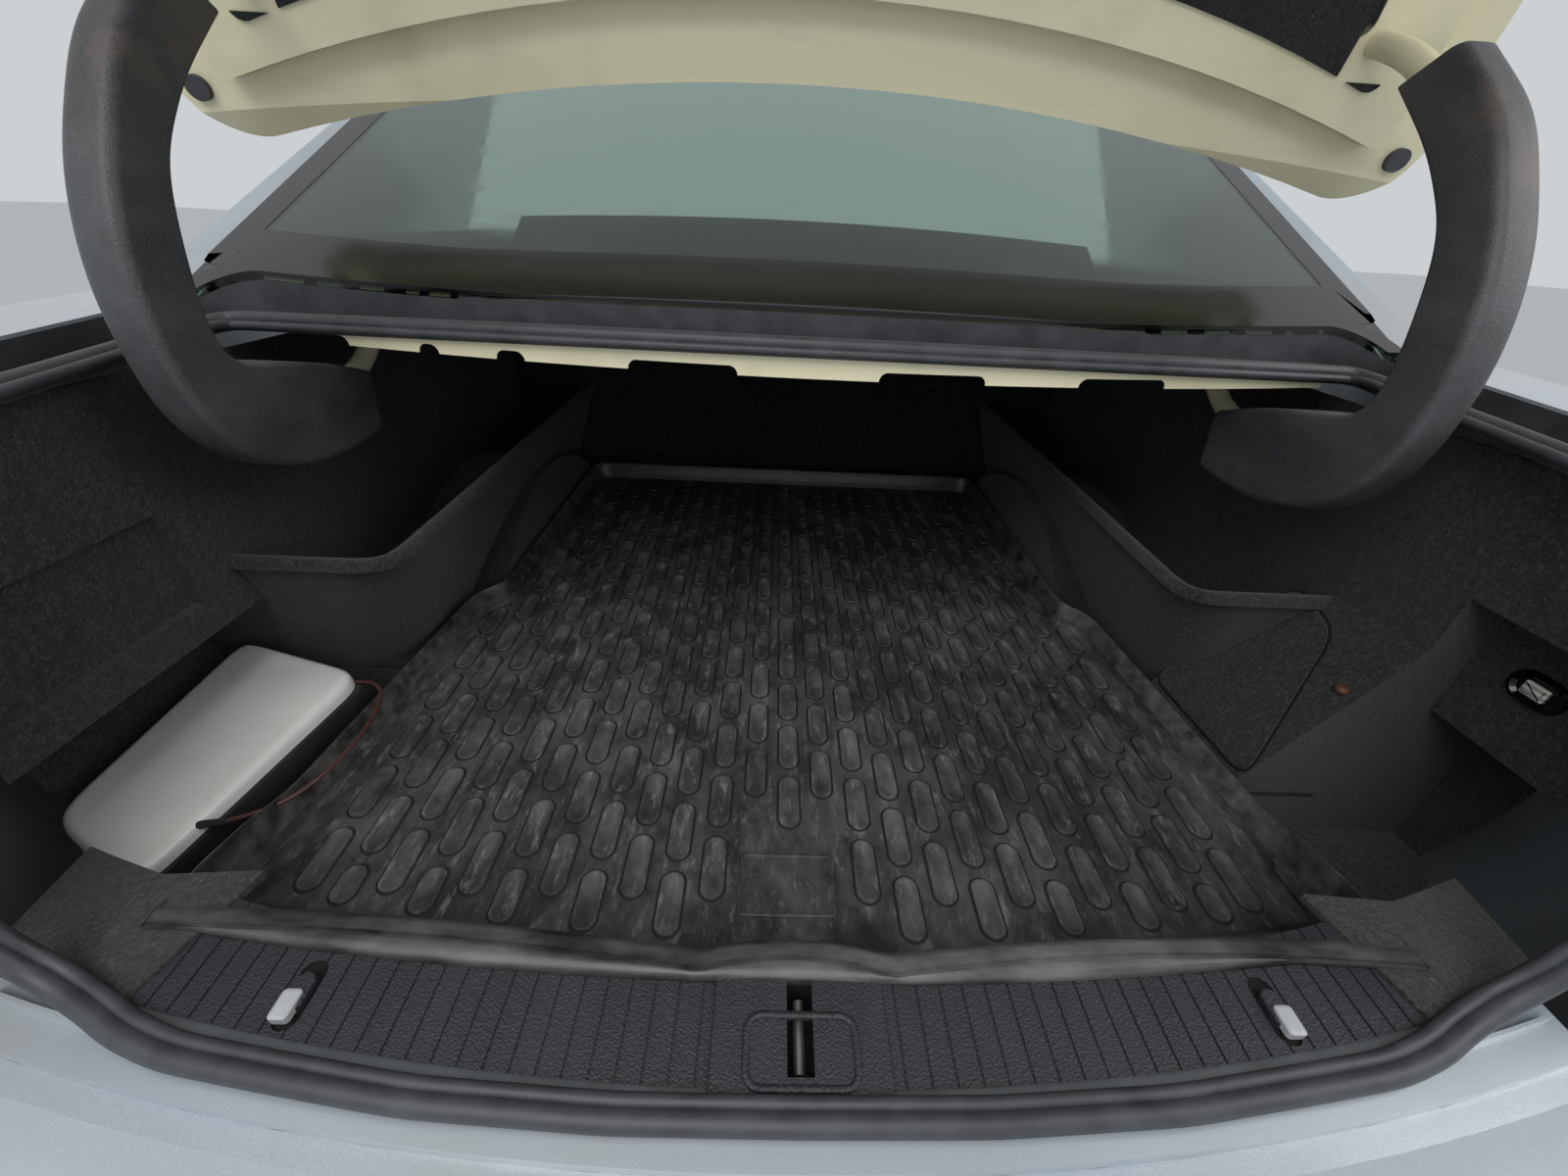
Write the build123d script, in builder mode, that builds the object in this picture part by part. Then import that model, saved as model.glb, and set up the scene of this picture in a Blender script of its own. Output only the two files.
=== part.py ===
"""Rear body section of a saloon taxi with its boot lid open, modelled in millimetres.

X points to the car's right, Y forwards and Z up. The origin is the centre of the front
face of the cross beam under the seat bulkhead, where the section joins the car's body.
"""
import math
import os

from build123d import *

os.makedirs("parts", exist_ok=True)

# Sheet, glass and trim thicknesses
SKIN = 3.0
SHEET = 2.0
GLASS_THICK = 5.0
FELT = 5.0
MOULDING = 3.0
MAT_THICK = 3.5

# Outer body: height, half width and rear edge of the plan outline at that height
BODY_LEVELS = (
    (-330, 850, -1375),
    (-60, 900, -1405),
    (240, 915, -1400),
    (400, 880, -1368),
    (505, 790, -1325),
)
BODY_FRONT = 40
REAR_BOW = 175
REAR_CORNER = 170
DECK_FALL = 3.2
DECK_CROWN = 55
DECK_HALF = 1000

# Rear window and the roof pillars beside it
GLASS_BASE_Y = -845
GLASS_BASE_Z = 489
GLASS_SLOPE = 29
GLASS_HALF = 690
GLASS_TOP_HALF = 560
GLASS_LENGTH = 860
GLASS_BOW = 66
GLASS_BOW_HALF = 900
PILLAR_FOOT = 760
PILLAR_TOP = 575
PILLAR_FOOT_Z = 420
ROOF_SIDE_Z = 830
ROOF_MIDDLE_Z = 870
HEADER_Z = 800
SIDE_PANELS = 450

# Boot lid outline in plan and its shut gap
LID_FRONT_MIDDLE = -862
LID_FRONT_SIDE = -770
LID_FRONT_HALF = 680
LID_REAR_HALF = 600
LID_REAR_END = -1600
LID_CORNER = 60
LID_BOTTOM = 100
SHUT_GAP = 5

# Gutter round the opening, measured in from the outer surface
GUTTER_DEPTH = 34
GUTTER_WIDTH = 44
FLANGE_TOP = 20
SEAL_TOP = 13
SEAL_BASE = 28
SEAL_HALF = 7.5

# Lid panels: rim width and depth of the pressed inner panel
RIM_WIDTH = 68
INNER_DEPTH = 26
INNER_RING = 150
LINER_EDGE = 112

# Hinge: pivot under the parcel shelf, and how far the stored lid stands open
PIVOT_Y = -650
PIVOT_Z = 482
OPEN_ANGLE = 76
ARM_X = 540
ARM_WIDE = 24
ARM_TALL = 30
HUB_RADIUS = 20
PIN_RADIUS = 6
PIN_PLAY = 0.3
CHEEK_GAP = 1.0
CHEEK_THICK = 3
PAD_REAR = -990
PAD_LONG = 96
PAD_WIDE = 44
PAD_THICK = 4
COVER_WIDE = 56
COVER_WALL = 2.5
ARM_BEND = 34
ARM_ROUTE = (
    (PIVOT_Y, PIVOT_Z),
    (-752, 392),
    (-845, 366),
    (-940, 366),
    (-1000, 420),
    (-1003, 500),
    (-965, 592),
    (-890, 668),
    (-800, 722),
    (-733, 745),
)

# Boot floor, wells and liner
FLOOR_HALF = 528
FLOOR_REAR = -1300
BULKHEAD_Y = -60
BEAM_TALL = 60
BEAM_HALF = 480
BOARD_THICK = 7
WELL_FLOOR = -60
WELL_HALF = 780
WELL_TOP = 150
LEFT_WELL_FRONT = -870
RIGHT_WELL_FRONT = -1050
BAY_HALF = 690
BAY_TOP = 290
RECESS_DEPTH = 12
RECESS_FRONT = -985
RECESS_LOW = 185
LEDGE_FOOT_HALF = 532
LEDGE_TOP_HALF = 465
LEDGE_FOOT_REAR = -870
LEDGE_TOP_REAR = -936
LEDGE_TOP = 205
LEDGE_WALL = 7
LEDGE_FLOOR = 85
LEDGE_ROUND = 70
ACCESS_FOOT = 520
ACCESS_TOP = 222
UPPER_HALF = 640
LINER_TOP = 416
LINER_REAR = -1283
LINER_FRONT = -72
WELL_SEAM = -940
SHELF_Z = 515
SHELF_REAR = -800
LIP_HALF = 600
LIP_TOP = 448
LIP_BOTTOM = 432
SCALLOP_DEEP = 9
SCALLOPS = (
    (-600, -482),
    (-401, -379),
    (-317, -287),
    (-181, -71),
    (71, 181),
    (282, 382),
)
RAIL_X = 435
RAIL_WIDE = 70
RAIL_TALL = 90
TUB_Y = -770
TUB_RADIUS = 330
TUB_DEPTH = 180

# Wheel arches
AXLE_Y = -400
AXLE_Z = -258
ARCH_RADIUS = 365
WHEELHOUSE_RADIUS = 380
WHEELHOUSE_INNER = 480

# Sill at the rear edge
SILL_Z = 95
SILL_HALF = 560
SCUFF_THICK = 3.5
SCUFF_FRONT = 104
SCUFF_REAR = 29
SCUFF_HALF = 470
GROOVE_PITCH = 17
GROOVE_WIDE = 2
GROOVE_DEEP = 1.2

# Striker in its moulded pocket, and the two bag hooks
POCKET_HALF = 38
POCKET_Y = -1338
POCKET_LONG = 62
POCKET_FLOOR = 45
BEZEL_HALF = 60
BEZEL_LONG = 84
BEZEL_THICK = 3
SLOT_WIDE = 18
SLOT_LONG = 56
STRIKER_ROD = 4
STRIKER_Z = 84
STRIKER_LONG = 44
TONGUE_HALF = 4
TONGUE_LOW = 97
HOOK_X = 345
HOOK_Y = -1322
HOOK_WIDE = 14
HOOK_LONG = 26
HOOK_HIGH = 9

# Tail lamps
LAMP_INNER = 612
LAMP_FRONT = -1130
LAMP_LOW = 215
LAMP_HIGH = 395
LAMP_DEPTH = 45

# Bumper cover
BUMPER_LEVELS = (
    (-335, 845, -1440),
    (-180, 903, -1478),
    (0, 916, -1475),
    (84, 914, -1425),
)
BUMPER_TOP = 84
BUMPER_FRONT = -790
BUMPER_SKIN = 4.0
BUMPER_LIP = 4.0

# Mat tray
MAT_REAR_HALF = 526
MAT_MIDDLE_HALF = 482
MAT_NOTCH_HALF = 452
MAT_REAR_Y = -1212
MAT_BOW = 44
MAT_NOTCH_Y = -712
MAT_FRONT_Y = -150
MAT_LIP = 34
MAT_FLARE = 12

# Roof sign lying in the left well
SIGN_X = -646
SIGN_Y = -1050
SIGN_LONG = 300
SIGN_DEEP = 170
SIGN_TALL = 112
SIGN_ROUND = 28
SIGN_WALL = 2.5
SIGN_BASE_THICK = 14
LEAD_RADIUS = 2.2
LEAD_ROUTE = (
    (-551, -948, 44),
    (-524, -950, 50),
    (-498, -975, 52),
    (-486, -1015, 53),
    (-483, -1062, 53),
    (-491, -1106, 52),
    (-512, -1140, 50),
    (-551, -1150, 44),
)

deck_dip = math.radians(DECK_FALL)
DECK = Plane(
    origin=(0, GLASS_BASE_Y, GLASS_BASE_Z),
    x_dir=(1, 0, 0),
    z_dir=(0, -math.cos(deck_dip), -math.sin(deck_dip)),
)
glass_rise = math.radians(GLASS_SLOPE)
GLASS = Plane(
    origin=(0, GLASS_BASE_Y, GLASS_BASE_Z),
    x_dir=(1, 0, 0),
    z_dir=(0, math.cos(glass_rise), math.sin(glass_rise)),
)
HINGE = Axis((0, PIVOT_Y, PIVOT_Z), (1, 0, 0))


def save(name, solid):
    solid.label = name
    export_step(solid, f"parts/{name}.step")


def block(low, high):
    """Box between two corners."""
    with BuildPart() as made:
        with BuildSketch(Plane.XY.offset(low[2])):
            with Locations(((low[0] + high[0]) / 2, (low[1] + high[1]) / 2)):
                Rectangle(high[0] - low[0], high[1] - low[1])
        extrude(amount=high[2] - low[2])
    return made.part


def mirrored(solid):
    """The same piece on the other side of the car."""
    with BuildPart() as made:
        mirror(solid, about=Plane.YZ)
    return made.part


def lofted_levels(levels, inset):
    """Stack of plan outlines with bowed rear edges, lofted from the lowest level up."""
    with BuildPart() as stack:
        for height, half_width, rear_edge in levels:
            half = half_width - inset
            rear = rear_edge + inset
            side = rear + REAR_BOW
            with BuildSketch(Plane.XY.offset(height)) as outline:
                with BuildLine():
                    Polyline((half, side), (half, BODY_FRONT), (-half, BODY_FRONT), (-half, side))
                    ThreePointArc((-half, side), (0, rear), (half, side))
                make_face()
                fillet(outline.vertices().group_by(Axis.Y)[0], REAR_CORNER)
        loft()
    return stack.part


def envelope(inset):
    """Everything inside the outer surface moved inwards by an amount."""
    with BuildPart() as lower:
        add(lofted_levels(BODY_LEVELS, inset))
        with BuildSketch(DECK.offset(-1500)):
            with BuildLine():
                edge = -DECK_CROWN - inset
                Polyline((-DECK_HALF, edge), (-DECK_HALF, -900), (DECK_HALF, -900), (DECK_HALF, edge))
                ThreePointArc((DECK_HALF, edge), (0, -inset), (-DECK_HALF, edge))
            make_face()
        extrude(amount=3000, mode=Mode.INTERSECT)
    with BuildPart() as upper:
        with BuildSketch(GLASS.offset(-400)):
            with BuildLine():
                edge = GLASS_BOW + inset
                side = GLASS_BOW_HALF
                Polyline((-side, edge), (-side, 700), (side, 700), (side, edge))
                ThreePointArc((side, edge), (0, inset), (-side, edge))
            make_face()
        extrude(amount=2000)
        with BuildSketch(Plane.XZ):
            with BuildLine():
                foot = PILLAR_FOOT - inset
                top = PILLAR_TOP - inset
                high = ROOF_SIDE_Z - inset
                Polyline(
                    (-top, high),
                    (-foot, PILLAR_FOOT_Z),
                    (-foot, 300),
                    (foot, 300),
                    (foot, PILLAR_FOOT_Z),
                    (top, high),
                )
                ThreePointArc((top, high), (0, ROOF_MIDDLE_Z - inset), (-top, high))
            make_face()
        extrude(amount=1500, both=True, mode=Mode.INTERSECT)
        with BuildSketch(Plane.XY):
            with Locations((0, -500)):
                Rectangle(2400, 1000 + 2 * BODY_FRONT)
        extrude(amount=1500, mode=Mode.INTERSECT)
    with BuildPart() as whole:
        add(lower.part)
        add(upper.part)
    return whole.part


def lid_column(grow, low, high=700):
    """Upright prism over the lid's plan outline, made larger all round by an amount."""
    front_side = LID_FRONT_SIDE + grow
    front_half = LID_FRONT_HALF + grow
    rear_half = LID_REAR_HALF + grow
    with BuildPart() as column:
        with BuildSketch(Plane.XY.offset(low)) as outline:
            with BuildLine():
                Polyline(
                    (front_half, front_side),
                    (rear_half, LID_REAR_END),
                    (-rear_half, LID_REAR_END),
                    (-front_half, front_side),
                )
                ThreePointArc(
                    (-front_half, front_side),
                    (0, LID_FRONT_MIDDLE + grow),
                    (front_half, front_side),
                )
            make_face()
            fillet(outline.vertices().group_by(Axis.Y)[-1], max(LID_CORNER + grow, 12))
        extrude(amount=high - low)
    return column.part


def between(outer, inner, *keep):
    """What lies in the outer solid and outside the inner one, within each kept zone."""
    with BuildPart() as layer:
        add(outer)
        for zone in keep:
            add(zone, mode=Mode.INTERSECT, clean=False)
        add(inner, mode=Mode.SUBTRACT, clean=False)
    return layer.part


def without(solid, *taken):
    """A solid with others cut away from it."""
    with BuildPart() as rest:
        add(solid)
        for zone in taken:
            add(zone, mode=Mode.SUBTRACT, clean=False)
    return rest.part


def within(solid, *zones):
    """The part of a solid that lies in every zone."""
    with BuildPart() as kept:
        add(solid)
        for zone in zones:
            add(zone, mode=Mode.INTERSECT, clean=False)
    return kept.part


def joined(*solids):
    """Solids fused where they meet."""
    with BuildPart() as whole:
        for piece in solids:
            add(piece)
    return whole.part


def opened(solid):
    """Swing a piece from the shut lid to where the lid stands open."""
    return solid.rotate(HINGE, -OPEN_ANGLE)


level = {depth: envelope(depth) for depth in (
    0,
    SKIN,
    SKIN + SHEET,
    GLASS_THICK + SHEET,
    SEAL_TOP,
    FLANGE_TOP,
    INNER_DEPTH - SHEET,
    INNER_DEPTH,
    SEAL_BASE,
    INNER_DEPTH + MOULDING,
    INNER_DEPTH + PAD_THICK,
    GUTTER_DEPTH - SHEET,
    GUTTER_DEPTH,
    LAMP_DEPTH,
)}
sill_outer = lofted_levels(BODY_LEVELS, SKIN)

# Zones that part the skin into its panels
opening_column = lid_column(SHUT_GAP, LID_BOTTOM - SHUT_GAP)
everything = block((-1200, -1700, -400), (1200, 0, 1200))
right_half = block((SIDE_PANELS, -1700, -400), (1200, 100, 1200))
rear_zone = block(
    (-LID_REAR_HALF - SHUT_GAP, -1600, -200),
    (LID_REAR_HALF + SHUT_GAP, -1200, LID_BOTTOM),
)
bumper_zone = block((-1200, -1700, -400), (1200, BUMPER_FRONT, BUMPER_TOP + 4))
header_zone = block(
    (-GLASS_TOP_HALF + 30, -900, HEADER_Z - 40),
    (GLASS_TOP_HALF - 30, 0, 1000),
)
with BuildPart() as arch_cut:
    with BuildSketch(Plane.YZ.offset(-1000)):
        with Locations((AXLE_Y, AXLE_Z)):
            Circle(ARCH_RADIUS)
    extrude(amount=2000)
with BuildPart() as window_cut:
    with BuildSketch(GLASS.offset(8)):
        Rectangle(2 * GLASS_HALF, 240)
    with BuildSketch(GLASS.offset(GLASS_LENGTH)):
        Rectangle(2 * GLASS_TOP_HALF, 240)
    loft()
    with BuildSketch(Plane.XY.offset(GLASS_BASE_Z - 60)):
        Rectangle(2400, 2400)
    extrude(amount=HEADER_Z - GLASS_BASE_Z + 60, mode=Mode.INTERSECT)
with BuildPart() as lamp_block:
    with BuildSketch(Plane.XZ.offset(1000)):
        with Locations((LAMP_INNER + 200, (LAMP_LOW + LAMP_HIGH) / 2)):
            RectangleRounded(400, LAMP_HIGH - LAMP_LOW, 30)
    extrude(amount=600)
    with BuildSketch(Plane.XY.offset(LAMP_LOW - 50)):
        with BuildLine():
            Polyline(
                (LAMP_INNER - 20, LAMP_FRONT - 120),
                (LAMP_INNER + 120, LAMP_FRONT),
                (1000, LAMP_FRONT),
                (1000, -1600),
                (LAMP_INNER - 20, -1600),
                close=True,
            )
        make_face()
    extrude(amount=LAMP_HIGH - LAMP_LOW + 100, mode=Mode.INTERSECT)

# Outer skin, open at the front and below
skin = between(level[0], level[SKIN], everything)
skin = without(skin, opening_column, arch_cut.part, window_cut.part)

quarter_right = between(skin, lamp_block.part, right_half)
quarter_right = without(quarter_right, bumper_zone, rear_zone, header_zone)
save("quarter_right", quarter_right)
save("quarter_left", mirrored(quarter_right))

roof_header = between(skin, rear_zone, header_zone)
save("roof_header", roof_header)

rear_glass = between(level[0], level[GLASS_THICK], window_cut.part)
rear_glass = without(rear_glass, opening_column)
save("rear_glass", rear_glass)

wall_column = lid_column(SHUT_GAP + SHEET, SILL_Z)
tail_lamp_right = between(level[0], level[LAMP_DEPTH], lamp_block.part)
tail_lamp_right = without(tail_lamp_right, wall_column)
save("tail_lamps", joined(tail_lamp_right, mirrored(tail_lamp_right)))

# Gutter under the lid's edge: outer wall, floor and the upright flange for the seal
ring_low = SILL_Z
hole_column = lid_column(-GUTTER_WIDTH - SHEET, ring_low - 50)
rim_column = lid_column(-GUTTER_WIDTH, ring_low - 50)
outer_column = lid_column(SHUT_GAP, ring_low)
gutter_floor = between(level[GUTTER_DEPTH - SHEET], level[GUTTER_DEPTH], wall_column)
gutter_floor = without(gutter_floor, hole_column)
gutter_wall = between(level[SKIN], level[GUTTER_DEPTH], wall_column)
gutter_wall = without(gutter_wall, outer_column)
gutter_flange = between(level[FLANGE_TOP], level[GUTTER_DEPTH], outer_column)
gutter_flange = between(gutter_flange, hole_column, rim_column)
gutter = joined(gutter_floor, gutter_wall, gutter_flange)
gutter = without(gutter, rear_zone, rear_glass)
save("opening_gutter", gutter)

# Seal pressed on the flange, round the opening and along the sill
seal_in = lid_column(-GUTTER_WIDTH - SHEET / 2 - SEAL_HALF, ring_low)
seal_out = lid_column(-GUTTER_WIDTH - SHEET / 2 + SEAL_HALF, ring_low)
seal_ring = between(level[SEAL_TOP], level[SEAL_BASE], seal_out)
seal_ring = without(seal_ring, seal_in)
seal_sill = between(
    level[SEAL_TOP],
    level[SEAL_BASE],
    block((-SILL_HALF, -1600, SILL_Z), (SILL_HALF, -1200, SILL_Z + 2 * SEAL_HALF)),
)
opening_seal = without(joined(seal_ring, seal_sill), gutter)

# Rear panel: outer skin, sill top, seal flange and inner wall, with the striker's pocket cut out
sill_depth = lofted_levels(BODY_LEVELS, SCUFF_FRONT)
sill_wall = lofted_levels(BODY_LEVELS, SCUFF_FRONT - SHEET)
sill_top = between(
    sill_outer,
    sill_depth,
    block((-SILL_HALF, -1600, SILL_Z - SHEET), (SILL_HALF, -1200, SILL_Z)),
)
inner_wall = between(
    sill_wall,
    sill_depth,
    block((-SILL_HALF, -1600, -60), (SILL_HALF, -1200, SILL_Z)),
)
sill_flange = between(
    level[FLANGE_TOP],
    lofted_levels(BODY_LEVELS, FLANGE_TOP + SHEET),
    block((-SILL_HALF + 12, -1600, SILL_Z - SHEET), (SILL_HALF - 12, -1200, SILL_Z + 9)),
)
pocket = block(
    (-POCKET_HALF, POCKET_Y - POCKET_LONG / 2, POCKET_FLOOR),
    (POCKET_HALF, POCKET_Y + POCKET_LONG / 2, SILL_Z + 20),
)
rear_skin = between(skin, bumper_zone, rear_zone)
rear_behind = between(
    level[0],
    level[SKIN],
    block((-LID_REAR_HALF, -1600, -200), (LID_REAR_HALF, -1200, BUMPER_TOP + 4)),
)
rear_panel = joined(rear_skin, rear_behind, sill_top, inner_wall, sill_flange)
rear_panel = without(rear_panel, pocket)
save("rear_panel", rear_panel)
opening_seal = without(opening_seal, sill_flange)
save("opening_seal", opening_seal)

# Bumper cover with a closing lip along its top edge
bumper_outer = lofted_levels(BUMPER_LEVELS, 0)
bumper_inner = lofted_levels(BUMPER_LEVELS, BUMPER_SKIN)
bumper_room = block((-1200, -1700, -400), (1200, BUMPER_FRONT, BUMPER_TOP))
bumper_skin = between(bumper_outer, bumper_inner, bumper_room)
bumper_lip = between(
    bumper_outer,
    level[0],
    block((-1200, -1700, BUMPER_TOP - BUMPER_LIP), (1200, BUMPER_FRONT, BUMPER_TOP)),
)
bumper_cover = without(joined(bumper_skin, bumper_lip), rear_behind, arch_cut.part)
save("bumper_cover", bumper_cover)

# Wheelhouses: a round shell over each wheel with its inner side
with BuildPart() as wheelhouse_shape:
    with BuildSketch(Plane.YZ.offset(WHEELHOUSE_INNER - SHEET)):
        with Locations((AXLE_Y, AXLE_Z)):
            Circle(WHEELHOUSE_RADIUS + SHEET)
    extrude(amount=500)
with BuildPart() as wheel_room:
    with BuildSketch(Plane.YZ.offset(WHEELHOUSE_INNER)):
        with Locations((AXLE_Y, AXLE_Z)):
            Circle(WHEELHOUSE_RADIUS)
    extrude(amount=500)
wheelhouse_right = between(
    wheelhouse_shape.part,
    wheel_room.part,
    level[SKIN],
    block((0, -1700, -330), (1200, 0, 600)),
)
save("wheelhouses", joined(wheelhouse_right, mirrored(wheelhouse_right)))

# Floor pan, and the spare wheel's tub in its round hole
with BuildPart() as tub:
    with BuildSketch(Plane.XZ.offset(-TUB_Y)):
        with BuildLine():
            Polyline(
                (0, -TUB_DEPTH),
                (TUB_RADIUS - 40, -TUB_DEPTH),
                (TUB_RADIUS, 0),
                (TUB_RADIUS - SHEET, 0),
                (TUB_RADIUS - 40 - SHEET, SHEET - TUB_DEPTH),
                (0, SHEET - TUB_DEPTH),
                close=True,
            )
        make_face()
    revolve(axis=Axis((0, TUB_Y, 0), (0, 0, 1)))
with BuildPart() as pan:
    with BuildSketch(Plane.XY.offset(-SHEET)):
        with Locations((0, (FLOOR_REAR + BULKHEAD_Y) / 2)):
            Rectangle(2 * FLOOR_HALF, BULKHEAD_Y - FLOOR_REAR)
        with Locations((0, TUB_Y)):
            Circle(TUB_RADIUS - SHEET, mode=Mode.SUBTRACT)
    extrude(amount=SHEET)
    add(wheelhouse_shape.part, mode=Mode.SUBTRACT)
    add(mirrored(wheelhouse_shape.part), mode=Mode.SUBTRACT)
    add(sill_depth, mode=Mode.INTERSECT)
save("floor_pan", without(pan.part, block((-900, BULKHEAD_Y - SHEET, -200), (900, 0, 200))))
save("spare_tub", without(tub.part, pan.part))

# Long rails under the floor
with BuildPart() as rails:
    with BuildSketch(Plane.XZ) as rail_section:
        with Locations((-RAIL_X, -SHEET - RAIL_TALL / 2), (RAIL_X, -SHEET - RAIL_TALL / 2)):
            Rectangle(RAIL_WIDE, RAIL_TALL)
            Rectangle(RAIL_WIDE - 2 * SKIN, RAIL_TALL - 2 * SKIN, mode=Mode.SUBTRACT)
    extrude(amount=-FLOOR_REAR)
rails = without(rails.part, block((-600, BULKHEAD_Y - SHEET, -BEAM_TALL), (600, 10, BEAM_TALL)))
save("chassis_rails", within(rails, sill_depth))

# Seat bulkhead with the hollow cross beam whose front face carries the joint
with BuildPart() as bulkhead:
    with BuildSketch(Plane.XZ.offset(-BULKHEAD_Y)):
        with BuildLine():
            Polyline(
                (-BEAM_HALF, -BEAM_TALL),
                (-BEAM_HALF, 60),
                (-UPPER_HALF, 190),
                (-UPPER_HALF, SHELF_Z - SHEET),
                (UPPER_HALF, SHELF_Z - SHEET),
                (UPPER_HALF, 190),
                (BEAM_HALF, 60),
                (BEAM_HALF, -BEAM_TALL),
                close=True,
            )
        make_face()
    extrude(amount=SHEET)
    with BuildSketch(Plane.XZ):
        Rectangle(2 * BEAM_HALF, 2 * BEAM_TALL)
        Rectangle(2 * BEAM_HALF - 2 * SKIN, 2 * BEAM_TALL - 2 * SKIN, mode=Mode.SUBTRACT)
    extrude(amount=-BULKHEAD_Y)
    with BuildSketch(Plane.XZ):
        Rectangle(2 * BEAM_HALF, 2 * BEAM_TALL)
    extrude(amount=SKIN)
seat_bulkhead = without(bulkhead.part, wheelhouse_right, mirrored(wheelhouse_right))
save("seat_bulkhead", seat_bulkhead)

# Parcel shelf, and the rear cross member whose lip hangs over the boot
with BuildPart() as shelf_sheet:
    with BuildSketch(Plane.XY.offset(SHELF_Z - SHEET)):
        with Locations((0, (SHELF_REAR + BULKHEAD_Y) / 2)):
            Rectangle(2 * UPPER_HALF, BULKHEAD_Y - SHELF_REAR)
    extrude(amount=SHEET)
parcel_shelf = within(shelf_sheet.part, level[GLASS_THICK])
save("parcel_shelf", parcel_shelf)
with BuildPart() as shelf_web:
    with BuildSketch(Plane.XY.offset(LIP_TOP)):
        with Locations((0, SHELF_REAR + SHEET / 2)):
            Rectangle(2 * LIP_HALF, SHEET)
    extrude(amount=SHELF_Z - SHEET - LIP_TOP)
web_under = between(
    block((-LIP_HALF, -960, LIP_TOP - SHEET), (LIP_HALF, SHELF_REAR + SHEET, LIP_TOP)),
    hole_column,
)
lip_low = block((-LIP_HALF + 10, -960, LIP_BOTTOM), (LIP_HALF - 10, -760, 480))
lip = between(level[FLANGE_TOP], hole_column, rim_column, lip_low)
with BuildPart() as scallops:
    with BuildSketch(Plane.XZ.offset(700)):
        for start, end in SCALLOPS:
            with Locations(((start + end) / 2, LIP_BOTTOM)):
                SlotOverall(end - start, 2 * SCALLOP_DEEP)
    extrude(amount=300)
rebate = between(
    level[GLASS_THICK],
    level[GLASS_THICK + SHEET],
    block((-LIP_HALF, -850, 400), (LIP_HALF, -700, SHELF_Z)),
)
gutter_room = without(opening_column, level[GUTTER_DEPTH])
cross_member = within(joined(shelf_web.part, web_under, lip), level[GLASS_THICK])
cross_member = joined(without(cross_member, scallops.part), rebate)
cross_member = without(cross_member, gutter, opening_seal, gutter_room, parcel_shelf)
save("shelf_cross_member", cross_member)

# Boot liner: felt shell round the load space, with a hump over each wheel
hump_radius = WHEELHOUSE_RADIUS + SHEET + FELT
with BuildPart() as hump_cut:
    with BuildSketch(Plane.YZ.offset(WHEELHOUSE_INNER - SHEET - FELT)):
        with Locations((AXLE_Y, AXLE_Z)):
            Circle(hump_radius)
    extrude(amount=500)
with BuildPart() as hump_felt:
    with BuildSketch(Plane.YZ.offset(WHEELHOUSE_INNER - SHEET)):
        with Locations((AXLE_Y, AXLE_Z)):
            Circle(hump_radius - FELT)
    extrude(amount=500)


def load_space(grow):
    """Room inside the liner, made larger all round by an amount."""
    with BuildPart() as room:
        add(block(
            (-UPPER_HALF - grow, LINER_REAR - grow, -grow),
            (UPPER_HALF + grow, LINER_FRONT + grow, LINER_TOP),
        ))
        add(block(
            (FLOOR_HALF - grow, LINER_REAR - grow, WELL_FLOOR - grow),
            (WELL_HALF + grow, RIGHT_WELL_FRONT + grow, WELL_TOP + grow),
        ))
        add(block(
            (FLOOR_HALF, LINER_REAR - grow, 0),
            (BAY_HALF + grow, RIGHT_WELL_FRONT + grow, BAY_TOP + grow),
        ))
        add(block(
            (-WELL_HALF - grow, LINER_REAR - grow, WELL_FLOOR - grow),
            (-FLOOR_HALF + grow, LEFT_WELL_FRONT + grow, WELL_TOP + grow),
        ))
        add(block(
            (-UPPER_HALF - RECESS_DEPTH - grow, LINER_REAR - grow, RECESS_LOW - grow),
            (-FLOOR_HALF, RECESS_FRONT + grow, BAY_TOP + grow),
        ))
    return room.part


def leaning_block(inset, low, high, side):
    """Block over a wheelhouse whose inboard and rear walls lean out as they rise."""
    with BuildPart() as leaning:
        for height in (low, high):
            share = height / LEDGE_TOP
            half = LEDGE_FOOT_HALF + share * (LEDGE_TOP_HALF - LEDGE_FOOT_HALF) + inset
            rear = LEDGE_FOOT_REAR + share * (LEDGE_TOP_REAR - LEDGE_FOOT_REAR) + inset
            with BuildSketch(Plane.XY.offset(height)) as outline:
                with Locations(((half + side) / 2, rear / 2)):
                    Rectangle(side - half, -rear)
                fillet(outline.vertices().sort_by(Axis.X)[0:2], LEDGE_ROUND - inset)
        loft(ruled=True)
    return leaning.part


def wheel_ledge(shrink):
    """The block with the pocket that the hinge arm swings down into, made smaller all round."""
    pocket = leaning_block(
        LEDGE_WALL - shrink,
        LEDGE_FLOOR - shrink,
        LEDGE_TOP + LEDGE_ROUND,
        UPPER_HALF + shrink,
    )
    return without(leaning_block(shrink, -120, LEDGE_TOP - shrink, WELL_HALF + 20), pocket)


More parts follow.
